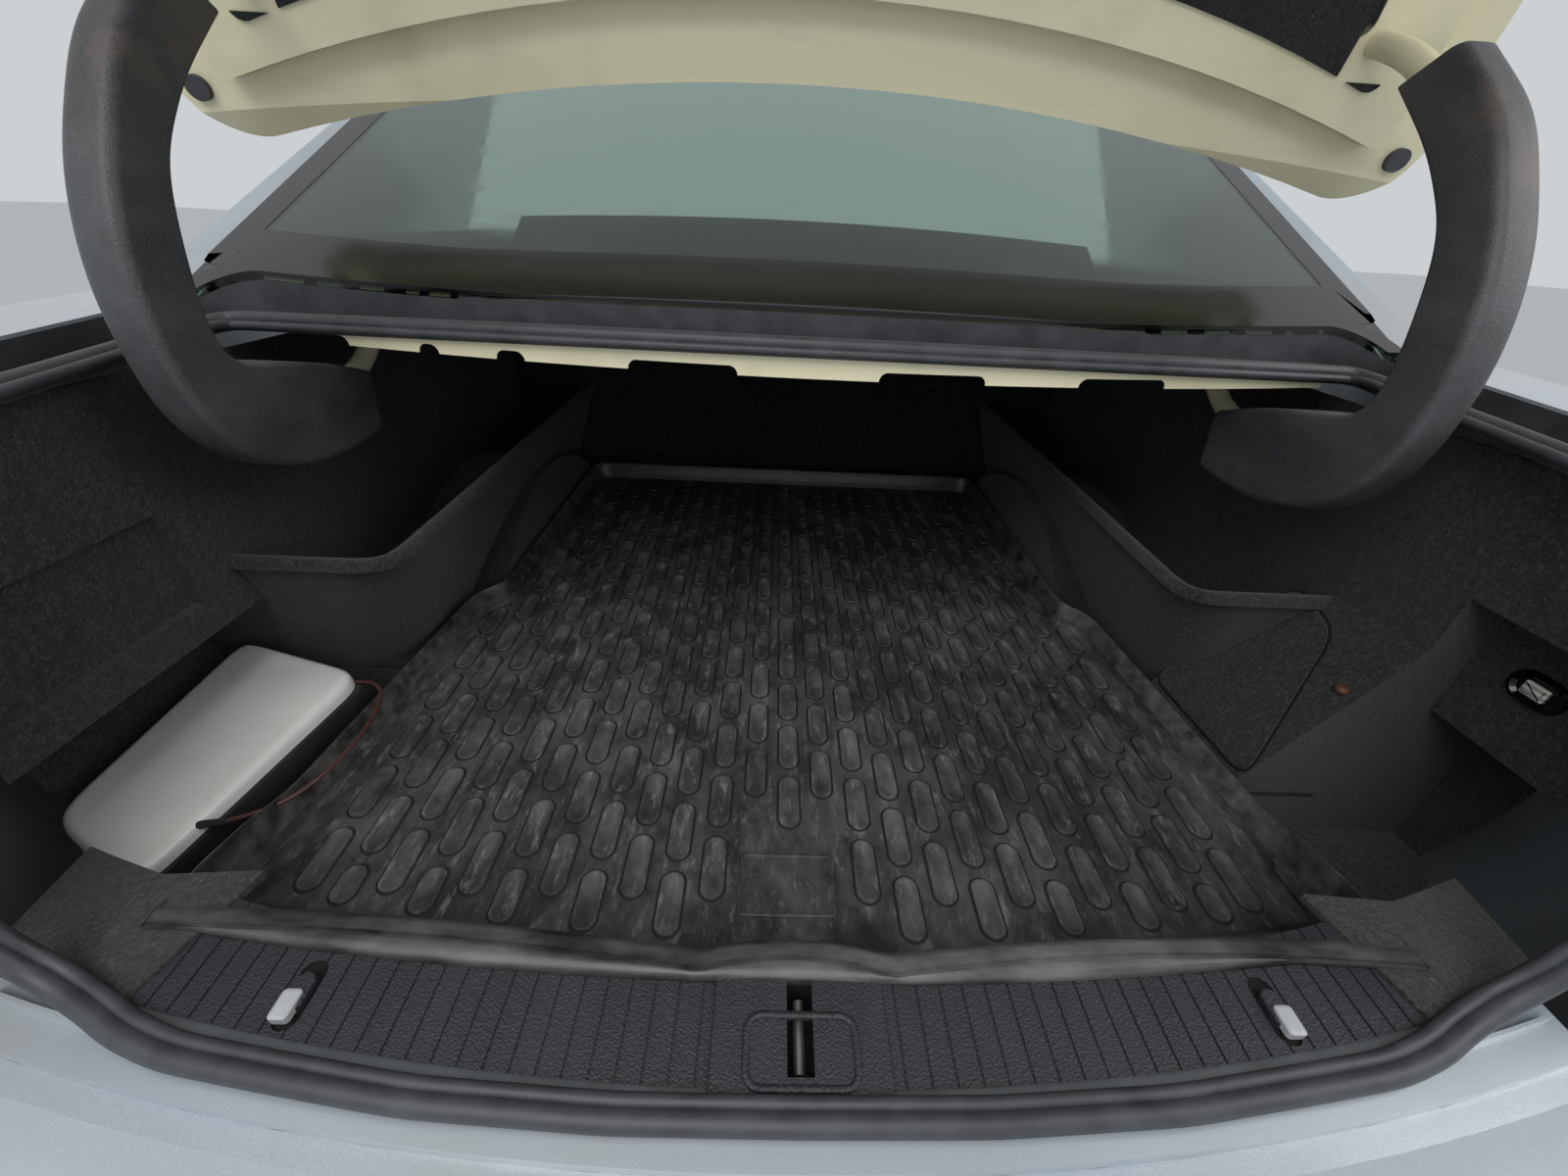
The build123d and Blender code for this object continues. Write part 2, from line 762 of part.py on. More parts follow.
ledge_full = wheel_ledge(0)
ledge_hollow = wheel_ledge(FELT)
inside = load_space(0)
inside = without(inside, hump_cut.part, mirrored(hump_cut.part), ledge_full, mirrored(ledge_full))
outside = load_space(FELT)
outside = without(
    outside,
    hump_felt.part,
    mirrored(hump_felt.part),
    ledge_hollow,
    mirrored(ledge_hollow),
)
liner = between(outside, inside, sill_depth)
board_zone = block((-FLOOR_HALF, -1400, -FELT), (FLOOR_HALF, 0, BOARD_THICK))
corner_zone = block((SCUFF_HALF, -1600, SILL_Z), (SILL_HALF + 70, -1200, SILL_Z + FELT))
corner_felt = between(lofted_levels(BODY_LEVELS, SCUFF_REAR), sill_depth, corner_zone)
corner_felt = within(corner_felt, lid_column(-GUTTER_WIDTH - SHEET - SEAL_HALF, 0))
right_zone = block((BEAM_HALF - 20, WELL_SEAM, -200), (1200, 0, 600))
left_zone = block((-1200, WELL_SEAM, -200), (20 - BEAM_HALF, 0, 600))
right_well_zone = block((BEAM_HALF - 20, -1400, -200), (1200, WELL_SEAM, 600))
left_well_zone = block((-1200, -1400, -200), (20 - BEAM_HALF, WELL_SEAM, 600))
front_zone = block((-BEAM_HALF + 20, -400, -200), (BEAM_HALF - 20, 0, 600))
liner_right = without(between(liner, board_zone, right_zone), gutter, opening_seal)
liner_left = without(between(liner, board_zone, left_zone), gutter, opening_seal)
well_right = joined(between(liner, board_zone, right_well_zone), corner_felt)
well_left = joined(between(liner, board_zone, left_well_zone), mirrored(corner_felt))
well_right = without(well_right, gutter, opening_seal, rear_panel)
well_left = without(well_left, gutter, opening_seal, rear_panel)
save("liner_right", liner_right)
save("liner_left", liner_left)
save("well_liner_right", well_right)
save("well_liner_left", well_left)
save("liner_front", between(liner, board_zone, front_zone))

# Floor board on the pan, cut round the wheelhouse covers and the wells
with BuildPart() as board:
    with BuildSketch(Plane.XY):
        with BuildLine():
            Polyline(
                (-FLOOR_HALF, -1400),
                (-FLOOR_HALF, LEFT_WELL_FRONT),
                (-UPPER_HALF, LEFT_WELL_FRONT),
                (-UPPER_HALF, LINER_FRONT),
                (UPPER_HALF, LINER_FRONT),
                (UPPER_HALF, RIGHT_WELL_FRONT),
                (FLOOR_HALF, RIGHT_WELL_FRONT),
                (FLOOR_HALF, -1400),
                close=True,
            )
        make_face()
    extrude(amount=BOARD_THICK)
    add(sill_depth, mode=Mode.INTERSECT)
floor_board = without(board.part, hump_cut.part, mirrored(hump_cut.part))
floor_board = without(floor_board, ledge_full, mirrored(ledge_full))
floor_board = without(floor_board, liner_right, liner_left, well_right, well_left)
save("floor_board", floor_board)

# Moulded cover over the right-hand bay's front, leaning out from the floor to the side
with BuildSketch() as access_outline:
    with BuildLine():
        Polyline(
            (ACCESS_FOOT, BOARD_THICK),
            (UPPER_HALF, ACCESS_TOP),
            (UPPER_HALF, BOARD_THICK),
            close=True,
        )
    make_face()
with BuildSketch() as access_inside:
    add(access_outline.sketch)
    offset(amount=-MOULDING, kind=Kind.INTERSECTION)
with BuildPart() as access_cover:
    with BuildSketch(Plane.XZ.offset(-RIGHT_WELL_FRONT)):
        add(access_outline.sketch)
    extrude(amount=RIGHT_WELL_FRONT - LEDGE_FOOT_REAR)
    with BuildSketch(Plane.XZ.offset(-RIGHT_WELL_FRONT - MOULDING)):
        add(access_inside.sketch)
    extrude(amount=RIGHT_WELL_FRONT - LEDGE_FOOT_REAR + 2 * MOULDING, mode=Mode.SUBTRACT)
ledge_core = leaning_block(0, 0, LEDGE_TOP + LEDGE_ROUND, WELL_HALF)
save("access_cover", without(access_cover.part, liner_right, well_right, ledge_core))

# Rubber mat: a tray with flared lips, narrowed between the wheel humps
MAT_TAPER = math.degrees(math.atan(MAT_FLARE / MAT_LIP))
with BuildSketch() as mat_outline:
    with BuildLine():
        Polyline(
            (MAT_REAR_HALF, MAT_REAR_Y),
            (MAT_MIDDLE_HALF, MAT_NOTCH_Y),
            (MAT_NOTCH_HALF, MAT_NOTCH_Y),
            (MAT_NOTCH_HALF, MAT_FRONT_Y),
            (-MAT_NOTCH_HALF, MAT_FRONT_Y),
            (-MAT_NOTCH_HALF, MAT_NOTCH_Y),
            (-MAT_MIDDLE_HALF, MAT_NOTCH_Y),
            (-MAT_REAR_HALF, MAT_REAR_Y),
        )
        ThreePointArc(
            (-MAT_REAR_HALF, MAT_REAR_Y),
            (0, MAT_REAR_Y - MAT_BOW),
            (MAT_REAR_HALF, MAT_REAR_Y),
        )
    make_face()
with BuildSketch() as mat_inside:
    add(mat_outline.sketch)
    offset(amount=-MAT_THICK, kind=Kind.INTERSECTION)
with BuildPart() as mat:
    with BuildSketch(Plane.XY.offset(BOARD_THICK)):
        add(mat_outline.sketch)
    extrude(amount=MAT_LIP, taper=-MAT_TAPER)
    with BuildSketch(Plane.XY.offset(BOARD_THICK + MAT_THICK)):
        add(mat_inside.sketch)
    extrude(amount=MAT_LIP, taper=-MAT_TAPER, mode=Mode.SUBTRACT)
save("boot_mat", mat.part)

# Scuff plate over the sill, grooved fore and aft, cut out round the striker and the hooks
scuff = between(
    lofted_levels(BODY_LEVELS, SCUFF_REAR),
    sill_depth,
    block((-SCUFF_HALF, -1600, SILL_Z), (SCUFF_HALF, -1200, SILL_Z + SCUFF_THICK)),
)
groove_count = int(2 * SCUFF_HALF / GROOVE_PITCH)
with BuildPart() as grooves:
    with BuildSketch(Plane.XY.offset(SILL_Z + SCUFF_THICK - GROOVE_DEEP)):
        with GridLocations(GROOVE_PITCH, 1, groove_count, 1):
            with Locations((0, -1340)):
                Rectangle(GROOVE_WIDE, 300)
    extrude(amount=2 * GROOVE_DEEP)
with BuildPart() as scuff_cuts:
    with BuildSketch(Plane.XY.offset(SILL_Z - 1)):
        with Locations((0, POCKET_Y)):
            RectangleRounded(2 * BEZEL_HALF, BEZEL_LONG, 8)
        with Locations((-HOOK_X, HOOK_Y), (HOOK_X, HOOK_Y)):
            SlotCenterToCenter(HOOK_LONG, HOOK_WIDE + 4, rotation=90)
    extrude(amount=20)
save("scuff_plate", without(scuff, grooves.part, scuff_cuts.part))

# Bag hooks folded flat in their slots
with BuildPart() as hooks:
    with BuildSketch(Plane.XY.offset(SILL_Z)):
        with Locations((-HOOK_X, HOOK_Y), (HOOK_X, HOOK_Y)):
            SlotCenterToCenter(HOOK_LONG - HOOK_WIDE, HOOK_WIDE, rotation=90)
    extrude(amount=HOOK_HIGH)
    fillet(hooks.faces().group_by(Axis.Z)[-1].edges(), 2)
save("sill_hooks", hooks.part)

# Striker cover: bezel with a slot, over a cup that hangs in the pocket
with BuildPart() as striker_cover:
    with BuildSketch(Plane.XY.offset(SILL_Z)):
        with Locations((0, POCKET_Y)):
            RectangleRounded(2 * BEZEL_HALF, BEZEL_LONG, 8)
    extrude(amount=SCUFF_THICK + BEZEL_THICK)
    fillet(striker_cover.faces().sort_by(Axis.Z)[-1].edges(), 1.5)
    with BuildSketch(Plane.XY.offset(POCKET_FLOOR)):
        with Locations((0, POCKET_Y)):
            RectangleRounded(2 * POCKET_HALF, POCKET_LONG, 4)
    extrude(amount=SILL_Z - POCKET_FLOOR)
    with BuildSketch(Plane.XY.offset(POCKET_FLOOR + SHEET)):
        with Locations((0, POCKET_Y)):
            RectangleRounded(2 * POCKET_HALF - 2 * SHEET, POCKET_LONG - 2 * SHEET, 3)
    extrude(amount=SILL_Z - POCKET_FLOOR - SHEET, mode=Mode.SUBTRACT)
    with BuildSketch(Plane.XY.offset(POCKET_FLOOR + SHEET)):
        with Locations((0, POCKET_Y)):
            Rectangle(SLOT_WIDE, SLOT_LONG)
    extrude(amount=100, mode=Mode.SUBTRACT)
save("striker_cover", striker_cover.part)

# Striker: a rod along the slot on two legs that stand in the cup
with BuildPart() as striker:
    with BuildSketch(Plane.XZ.offset(-POCKET_Y - STRIKER_LONG / 2)):
        with Locations((0, STRIKER_Z)):
            Circle(STRIKER_ROD)
    extrude(amount=STRIKER_LONG)
    with BuildSketch(Plane.XY.offset(POCKET_FLOOR + SHEET)):
        leg = STRIKER_LONG / 2 - STRIKER_ROD
        with Locations((0, POCKET_Y - leg), (0, POCKET_Y + leg)):
            Circle(STRIKER_ROD - 0.5)
    extrude(amount=STRIKER_Z - POCKET_FLOOR - SHEET)
save("striker_loop", striker.part)

# Boot lamp in the right-hand side wall
with BuildPart() as boot_lamp:
    with BuildSketch(Plane.YZ.offset(BAY_HALF - 8)):
        with Locations((-1120, 226)):
            RectangleRounded(62, 30, 8)
    extrude(amount=8)
    fillet(boot_lamp.faces().sort_by(Axis.X)[0].edges(), 4)
save("boot_lamp", boot_lamp.part)

# High brake lamp on the parcel shelf, shaped to the glass above it
brake_lamp = block((-340, -830, SHELF_Z), (340, -690, 590))
save("brake_lamp", within(brake_lamp, envelope(GLASS_THICK + 6)))

# Black trim strip along the foot of the glass
glass_trim = between(
    envelope(-MOULDING),
    level[0],
    block((-GLASS_HALF, -880, 470), (GLASS_HALF, -700, 560)),
    lid_column(SHUT_GAP + 34, 400),
)
save("glass_trim", without(glass_trim, opening_column))

# Lid, shaped shut in place and swung open: skin, pressed inner panel and felt
lid_zone = lid_column(0, LID_BOTTOM)
rim_zone = lid_column(-RIM_WIDTH, LID_BOTTOM + RIM_WIDTH)
step_zone = lid_column(-RIM_WIDTH - SHEET, LID_BOTTOM + RIM_WIDTH + SHEET)
ring_zone = lid_column(-INNER_RING, LID_BOTTOM + INNER_RING)
felt_zone = lid_column(-LINER_EDGE, LID_BOTTOM + LINER_EDGE)
lid_skin = between(level[0], level[SKIN], lid_zone)
save("lid_skin", opened(lid_skin))
rim = without(between(level[SKIN], level[SKIN + SHEET], lid_zone), rim_zone)
step = without(between(level[SKIN], level[INNER_DEPTH], rim_zone), step_zone)
ring = without(between(level[INNER_DEPTH - SHEET], level[INNER_DEPTH], rim_zone), ring_zone)
lid_inner = joined(rim, step, ring)
save("lid_inner", opened(lid_inner))
pad_zone = block(
    (ARM_X - PAD_WIDE / 2, PAD_REAR, 300),
    (ARM_X + PAD_WIDE / 2, PAD_REAR + PAD_LONG, 700),
)
pad = between(level[INNER_DEPTH], level[INNER_DEPTH + PAD_THICK], pad_zone)
lid_liner = between(level[INNER_DEPTH], level[INNER_DEPTH + MOULDING], felt_zone)
pad_room = block((ARM_X - PAD_WIDE / 2, PAD_REAR, 300), (ARM_X + PAD_WIDE, PAD_REAR + PAD_LONG, 700))
save("lid_liner", opened(without(lid_liner, pad_room, mirrored(pad_room))))

# Blank number plate on its packing, against the lid's bowed rear face
plate_panel = without(block((-262, -1424, 236), (262, -1370, 352)), level[0])
save("plate_panel", opened(plate_panel))

# Latch under the lid's lower edge
latch_body = block((-32, -1378, LID_BOTTOM + 14), (32, -1318, LID_BOTTOM + 95))
latch_body = within(latch_body, level[INNER_DEPTH])
tongue = block((-TONGUE_HALF, -1352, TONGUE_LOW), (TONGUE_HALF, -1326, LID_BOTTOM + 20))
save("lid_latch", opened(joined(latch_body, tongue)))

# Rubber buffers in the rim at the lid's front corners
buffer_x = LID_FRONT_HALF - 34
buffer_y = LID_FRONT_SIDE - 62
with BuildPart() as buffer_pegs:
    with BuildSketch(Plane.XY.offset(400)):
        with Locations((-buffer_x, buffer_y), (buffer_x, buffer_y)):
            Circle(11)
    extrude(amount=120)
    add(level[SKIN + SHEET], mode=Mode.INTERSECT)
    add(envelope(SKIN + SHEET + 6), mode=Mode.SUBTRACT)
save("lid_buffers", opened(buffer_pegs.part))

# Gooseneck arms: steel arm from the pivot to the lid, and its moulded cover
with BuildPart() as arm:
    with BuildSketch(Plane.YZ.offset(ARM_X - ARM_WIDE / 2)):
        with BuildLine():
            arm_line = FilletPolyline(*ARM_ROUTE, radius=ARM_BEND)
        trace(arm_line, line_width=ARM_TALL)
        with Locations((PIVOT_Y, PIVOT_Z)):
            Circle(HUB_RADIUS)
            Circle(PIN_RADIUS + PIN_PLAY, mode=Mode.SUBTRACT)
    extrude(amount=ARM_WIDE)
arm_clear = opened(without(lid_zone, level[INNER_DEPTH]))
arm_part = without(joined(arm.part, opened(pad)), arm_clear)
with BuildPart() as studs:
    with BuildSketch(Plane.YZ.offset(ARM_X - COVER_WIDE / 2 + COVER_WALL)):
        with Locations((-1003, 480), (-880, 366), (-905, 655)):
            Circle(7)
    extrude(amount=COVER_WIDE - 2 * COVER_WALL)
hinge_arm_right = joined(arm_part, studs.part)
save("hinge_arm_right", hinge_arm_right)
save("hinge_arm_left", mirrored(hinge_arm_right))

with BuildSketch() as cover_outline:
    with BuildLine():
        ThreePointArc((-880, 715), (-1000, 582), (-1031, 462))
        ThreePointArc((-1031, 462), (-1006, 368), (-925, 321))
        Polyline((-925, 321), (-800, 321), (-788, 392), (-905, 425), (-972, 428))
        ThreePointArc((-972, 428), (-950, 580), (-835, 690))
        Line((-835, 690), (-880, 715))
    make_face()
with BuildSketch() as cover_inside:
    add(cover_outline.sketch)
    offset(amount=-COVER_WALL, kind=Kind.INTERSECTION)
with BuildPart() as cover:
    with BuildSketch(Plane.YZ.offset(ARM_X - COVER_WIDE / 2)):
        add(cover_outline.sketch)
    extrude(amount=COVER_WIDE)
with BuildPart() as cover_room:
    with BuildSketch(Plane.YZ.offset(ARM_X - COVER_WIDE / 2 + COVER_WALL)):
        add(cover_inside.sketch)
    extrude(amount=COVER_WIDE - 2 * COVER_WALL)
    with BuildSketch(Plane.YZ.offset(ARM_X - ARM_WIDE / 2 - 3)):
        with Locations((-770, 390)):
            Rectangle(120, 90)
        with Locations((-830, 720)):
            Rectangle(110, 90)
    extrude(amount=ARM_WIDE + 6)
hinge_cover_right = without(cover.part, cover_room.part, hinge_arm_right)
save("hinge_cover_right", hinge_cover_right)
save("hinge_cover_left", mirrored(hinge_cover_right))

# Hinge brackets: two cheeks under the shelf each side, with the pivot pin
cheek_in = ARM_X - ARM_WIDE / 2 - CHEEK_GAP
cheek_out = ARM_X + ARM_WIDE / 2 + CHEEK_GAP
with BuildPart() as bracket:
    with BuildSketch(Plane.YZ.offset(cheek_in - CHEEK_THICK)):
        with BuildLine():
            Polyline(
                (PIVOT_Y - 60, SHELF_Z - SHEET),
                (PIVOT_Y - 18, PIVOT_Z - 16),
                (PIVOT_Y + 18, PIVOT_Z - 16),
                (PIVOT_Y + 60, SHELF_Z - SHEET),
                close=True,
            )
        make_face()
    extrude(amount=CHEEK_THICK)
    with BuildSketch(Plane.YZ.offset(cheek_out)):
        with BuildLine():
            Polyline(
                (PIVOT_Y - 60, SHELF_Z - SHEET),
                (PIVOT_Y - 18, PIVOT_Z - 16),
                (PIVOT_Y + 18, PIVOT_Z - 16),
                (PIVOT_Y + 60, SHELF_Z - SHEET),
                close=True,
            )
        make_face()
    extrude(amount=CHEEK_THICK)
    with BuildSketch(Plane.YZ.offset(cheek_in - CHEEK_THICK - 4)):
        with Locations((PIVOT_Y, PIVOT_Z)):
            Circle(PIN_RADIUS)
    extrude(amount=cheek_out - cheek_in + 2 * CHEEK_THICK + 8)
save("hinge_brackets", joined(bracket.part, mirrored(bracket.part)))

# Roof sign on its side in the left well: white shell, dark base and its lead
sign_right = SIGN_X + SIGN_DEEP / 2
sign_low = WELL_FLOOR
with BuildPart() as sign_shell:
    with BuildSketch(Plane.YZ.offset(sign_right - SIGN_DEEP)):
        with Locations((SIGN_Y, sign_low + SIGN_TALL / 2)):
            RectangleRounded(SIGN_LONG, SIGN_TALL, SIGN_ROUND)
    extrude(amount=SIGN_DEEP)
    fillet(sign_shell.faces().sort_by(Axis.X)[0].edges(), SIGN_ROUND - 4)
with BuildPart() as sign_room:
    with BuildSketch(Plane.YZ.offset(sign_right - SIGN_DEEP + SIGN_WALL)):
        with Locations((SIGN_Y, sign_low + SIGN_TALL / 2)):
            RectangleRounded(
                SIGN_LONG - 2 * SIGN_WALL,
                SIGN_TALL - 2 * SIGN_WALL,
                SIGN_ROUND - SIGN_WALL,
            )
    extrude(amount=SIGN_DEEP)
    fillet(sign_room.faces().sort_by(Axis.X)[0].edges(), SIGN_ROUND - 4 - SIGN_WALL)
save("sign_shell", without(sign_shell.part, sign_room.part))
with BuildPart() as sign_base:
    with BuildSketch(Plane.YZ.offset(sign_right)):
        with Locations((SIGN_Y, sign_low + SIGN_TALL / 2)):
            RectangleRounded(SIGN_LONG, SIGN_TALL, SIGN_ROUND)
    extrude(amount=SIGN_BASE_THICK)
save("sign_base", sign_base.part)


def lead_radii(points):
    """Largest tangent arc that each corner of the route leaves room for."""
    radii = []
    for before, corner, after in zip(points, points[1:], points[2:]):
        run_in = Vector(*corner) - Vector(*before)
        run_out = Vector(*after) - Vector(*corner)
        turn = math.radians(run_in.get_angle(run_out))
        radii.append(0.45 * min(run_in.length, run_out.length) / math.tan(turn / 2))
    return radii


with BuildPart() as sign_lead:
    with BuildLine() as lead_line:
        FilletPolyline(*LEAD_ROUTE, radius=lead_radii(LEAD_ROUTE))
    with BuildSketch(Plane(origin=LEAD_ROUTE[0], z_dir=lead_line.wires()[0] % 0)):
        Circle(LEAD_RADIUS)
    sweep(path=lead_line.wires()[0])
save("sign_lead", without(sign_lead.part, sign_base.part))
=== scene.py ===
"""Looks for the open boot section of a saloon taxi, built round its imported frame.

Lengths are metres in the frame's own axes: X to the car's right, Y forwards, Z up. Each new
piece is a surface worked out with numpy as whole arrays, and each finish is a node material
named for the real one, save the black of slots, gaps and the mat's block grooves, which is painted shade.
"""
import math

import bmesh
import bpy
import numpy as np
from mathutils import Matrix, Vector


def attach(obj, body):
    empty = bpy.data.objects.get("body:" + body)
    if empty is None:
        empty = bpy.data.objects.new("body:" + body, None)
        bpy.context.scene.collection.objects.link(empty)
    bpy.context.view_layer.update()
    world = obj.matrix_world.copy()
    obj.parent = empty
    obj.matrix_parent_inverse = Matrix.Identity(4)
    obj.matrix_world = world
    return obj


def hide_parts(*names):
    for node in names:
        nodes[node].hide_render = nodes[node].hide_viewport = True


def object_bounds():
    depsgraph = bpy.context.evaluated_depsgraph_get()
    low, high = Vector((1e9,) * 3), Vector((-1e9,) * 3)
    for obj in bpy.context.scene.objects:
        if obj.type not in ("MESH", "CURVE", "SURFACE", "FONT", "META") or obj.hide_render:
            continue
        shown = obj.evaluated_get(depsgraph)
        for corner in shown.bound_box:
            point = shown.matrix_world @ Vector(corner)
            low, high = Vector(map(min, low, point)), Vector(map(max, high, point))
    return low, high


bl_info = {
    "name": "Open boot of a saloon taxi",
    "version": (1, 0, 0),
    "blender": (4, 5, 0),
    "location": "View3D > Sidebar > Boot",
    "description": "Dresses the boot section: rubber mat, felt liner, trim, lid, sign and finishes",
    "category": "Object",
}

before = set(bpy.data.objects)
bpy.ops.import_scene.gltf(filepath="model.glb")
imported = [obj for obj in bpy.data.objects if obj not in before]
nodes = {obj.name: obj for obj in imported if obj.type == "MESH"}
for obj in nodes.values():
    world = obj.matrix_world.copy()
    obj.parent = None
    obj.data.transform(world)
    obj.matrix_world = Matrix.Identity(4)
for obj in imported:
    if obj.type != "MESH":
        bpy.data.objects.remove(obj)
cad_low, cad_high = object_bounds()

# Deck and window surfaces, as the frame's body has them
SURFACE_Y = -0.845
SURFACE_Z = 0.489
DECK_FALL = math.radians(3.2)
DECK_RADIUS = 9.118
GLASS_SLOPE = math.radians(29)
GLASS_RADIUS = 6.169

# Body plan outline: height, half width and rear edge
BODY_LEVELS = np.array([
    (-0.330, 0.850, -1.375),
    (-0.060, 0.900, -1.405),
    (0.240, 0.915, -1.400),
    (0.400, 0.880, -1.368),
    (0.505, 0.790, -1.325),
])
REAR_BOW = 0.175

# Heights of the floor board, the mat's floor and the sill
BOARD_TOP = 0.007
MAT_TOP = 0.0105
SILL_TOP = 0.0985

# Mat in plan: half width, rear edge and front edge of its floor, half width of its rear lip's
# crest, and rear edge of its skirt; the rear edges bow forwards by their bow at BOW_HALF
MAT_HALF = 0.512
MAT_REAR = -1.245
MAT_BOW = 0.040
MAT_FRONT = -0.157
CREST_HALF = 0.486
SKIRT_REAR = -1.311
SKIRT_BOW = 0.038
BOW_HALF = 0.526

# Wheel ledge: height, inner edge and rear edge of its top
LEDGE_TOP = 0.205
LEDGE_TOP_HALF = 0.465
LEDGE_TOP_REAR = -0.936

# Cover of the right-hand bay: distance of its foot from the middle, and how far it leans out
BAY_COVER_FOOT = 0.520
BAY_COVER_LEAN = math.radians(29.2)

# Seal's and lid's front edges and the window's foot: place at the middle, and the half width where
# they lie further forwards by their bow
OPENING_BOW = 0.092
SEAL_FRONT = -0.907
SEAL_HALF = 0.635
LID_FRONT = -0.852
LID_HALF = 0.680
WINDOW_FOOT = -0.836
WINDOW_BOW = 0.066
WINDOW_HALF = 0.9

# Hinges: distance from the middle of the car to an arm and to both sides of its cover, and the
# radius of the arm's tube
ARM_X = 0.540
COVER_INNER = 0.512
COVER_OUTER = 0.557
ARM_RADIUS = 0.011

# Middles of the small pieces, and the well's wall that the boot lamp sits on
PAD_Y = -1.182
BRAKE_LAMP_Y = -0.752
SIDE_WALL_X = 0.690
LAMP_MIDDLE = (-1.108, 0.226)
CLIP_PLACES = ((0.604, -1.032, 0.157), (-0.475, -0.900, 0.207))
STRIKER_MIDDLE = (0.0005, -1.3515)
TAB_MIDDLE = (0.3465, -1.331)
HOOK_WELL_MIDDLE = (0.345, -1.322)

# Stowed sign: two corners of its shell, the ends of its base, its heights, and the slope of its
# top about SIGN_MIDDLE_Y
SIGN_REAR_CORNER = (-0.722, -1.150)
SIGN_FRONT_CORNER = (-0.722, -0.893)
SIGN_BASE_REAR = np.array([-0.586, -1.216])
SIGN_BASE_FRONT = np.array([-0.536, -0.945])
SIGN_BOTTOM = -0.058
SIGN_TOP = 0.051
SIGN_MIDDLE_Y = -1.06
SIGN_RISE = 0.085

# Camera fitted to the photograph: yaw, pitch and roll in degrees, place, and lens and sensor in
# millimetres
CAMERA_TURNS = (2.0, 32.2, 3.2)
CAMERA_PLACE = (-0.0340, -1.5174, 0.5677)
CAMERA_LENS = 13.5
CAMERA_SENSOR = 36

# Stage: half width of the floor and its gap under the section, strength of the world's light, and
# each lamp's name, place, aim, power and width
FLOOR_HALF = 30
FLOOR_GAP = 0.002
WORLD_STRENGTH = 0.75
LAMPS = (
    ("lamp_over", (-0.6, -2.6, 2.6), (0, -0.9, 0), 55, 2.2),
    ("lamp_side", (2.8, -1.6, 2.2), (0, -0.8, 0.2), 30, 1.8),
)

# The lead's route, as the frame has it
LEAD_DIAMETER = 0.0044
LEAD_ROUTE = (
    (-0.551, -0.948, 0.044),
    (-0.524, -0.950, 0.050),
    (-0.498, -0.975, 0.052),
    (-0.486, -1.015, 0.053),
    (-0.483, -1.062, 0.053),
    (-0.491, -1.106, 0.052),
    (-0.512, -1.140, 0.050),
    (-0.551, -1.150, 0.044),
)


# Surfaces and shapes

def deck_z(x, y, inset=0.0):
    """Deck height: falls 3.2 degrees to the rear and sags as a circle of 9.1 m across the car."""
    sag = DECK_RADIUS - np.sqrt(DECK_RADIUS ** 2 - x ** 2)
    return SURFACE_Z + (y - SURFACE_Y) * math.tan(DECK_FALL) - (inset + sag) / math.cos(DECK_FALL)


def glass_z(x, y, inset=0.0):
    """Window height: rises 29 degrees forwards and sags as a circle of 6.2 m across the car."""
    sag = GLASS_RADIUS - np.sqrt(GLASS_RADIUS ** 2 - x ** 2)
    return SURFACE_Z + (y - SURFACE_Y) * math.tan(GLASS_SLOPE) - (inset + sag) / math.cos(GLASS_SLOPE)


def rear_y(x, z, inset=0.0):
    """Rear face: its edge at each height, bowed 175 mm from the middle to the half width."""
    half = np.interp(z, BODY_LEVELS[:, 0], BODY_LEVELS[:, 1])
    edge = np.interp(z, BODY_LEVELS[:, 0], BODY_LEVELS[:, 2])
    radius = (half ** 2 + REAR_BOW ** 2) / (2 * REAR_BOW)
    return edge + inset + radius - np.sqrt(radius ** 2 - x ** 2)


def bowed(x, middle, bow, half):
    """Edge across the car: a parabola from its middle, bow further forwards at the half width."""
    return middle + bow * (x / half) ** 2


def smoothstep(value):
    """Eases from 0 to 1: three squares less two cubes of the clipped value."""
    value = np.clip(value, 0, 1)
    return value * value * (3 - 2 * value)


def rounded_path(points, count, soft=0.0, closed=False):
    """Even points along straight runs, then a running mean over the length soft rounds the corners."""
    points = np.asarray(points, float)
    if closed:
        points = np.vstack([points, points[:1]])
    far = np.concatenate([[0], np.cumsum(np.linalg.norm(np.diff(points, axis=0), axis=1))])
    at = np.linspace(0, far[-1], count, endpoint=not closed)
    even = np.stack([np.interp(at, far, column) for column in points.T], -1)
    half = int(soft / (far[-1] / count) / 2)
    if half < 1:
        return even
    if closed:
        padded = np.vstack([even[-half:], even, even[:half]])
    else:
        before = 2 * even[0] - even[half:0:-1]
        after = 2 * even[-1] - even[-2:-half - 2:-1]
        padded = np.vstack([before, even, after])
    weight = np.hanning(2 * half + 3)[1:-1]
    weight /= weight.sum()
    return np.stack([np.convolve(column, weight, "valid") for column in padded.T], -1)


def ring_faces(rings, around, closed=False, start=0):
    """Quads between neighbouring rings of a grid, with a cap at each end of an open run."""
    i = np.arange(rings if closed else rings - 1)[:, None]
    j = np.arange(around)[None, :]
    near, far = i * around, ((i + 1) % rings) * around
    quads = np.stack([near + j, near + (j + 1) % around, far + (j + 1) % around, far + j], -1)
    faces = (quads.reshape(-1, 4) + start).tolist()
    if not closed:
        faces.append((start + np.arange(around)[::-1]).tolist())
        faces.append((start + (rings - 1) * around + np.arange(around)).tolist())
    return faces


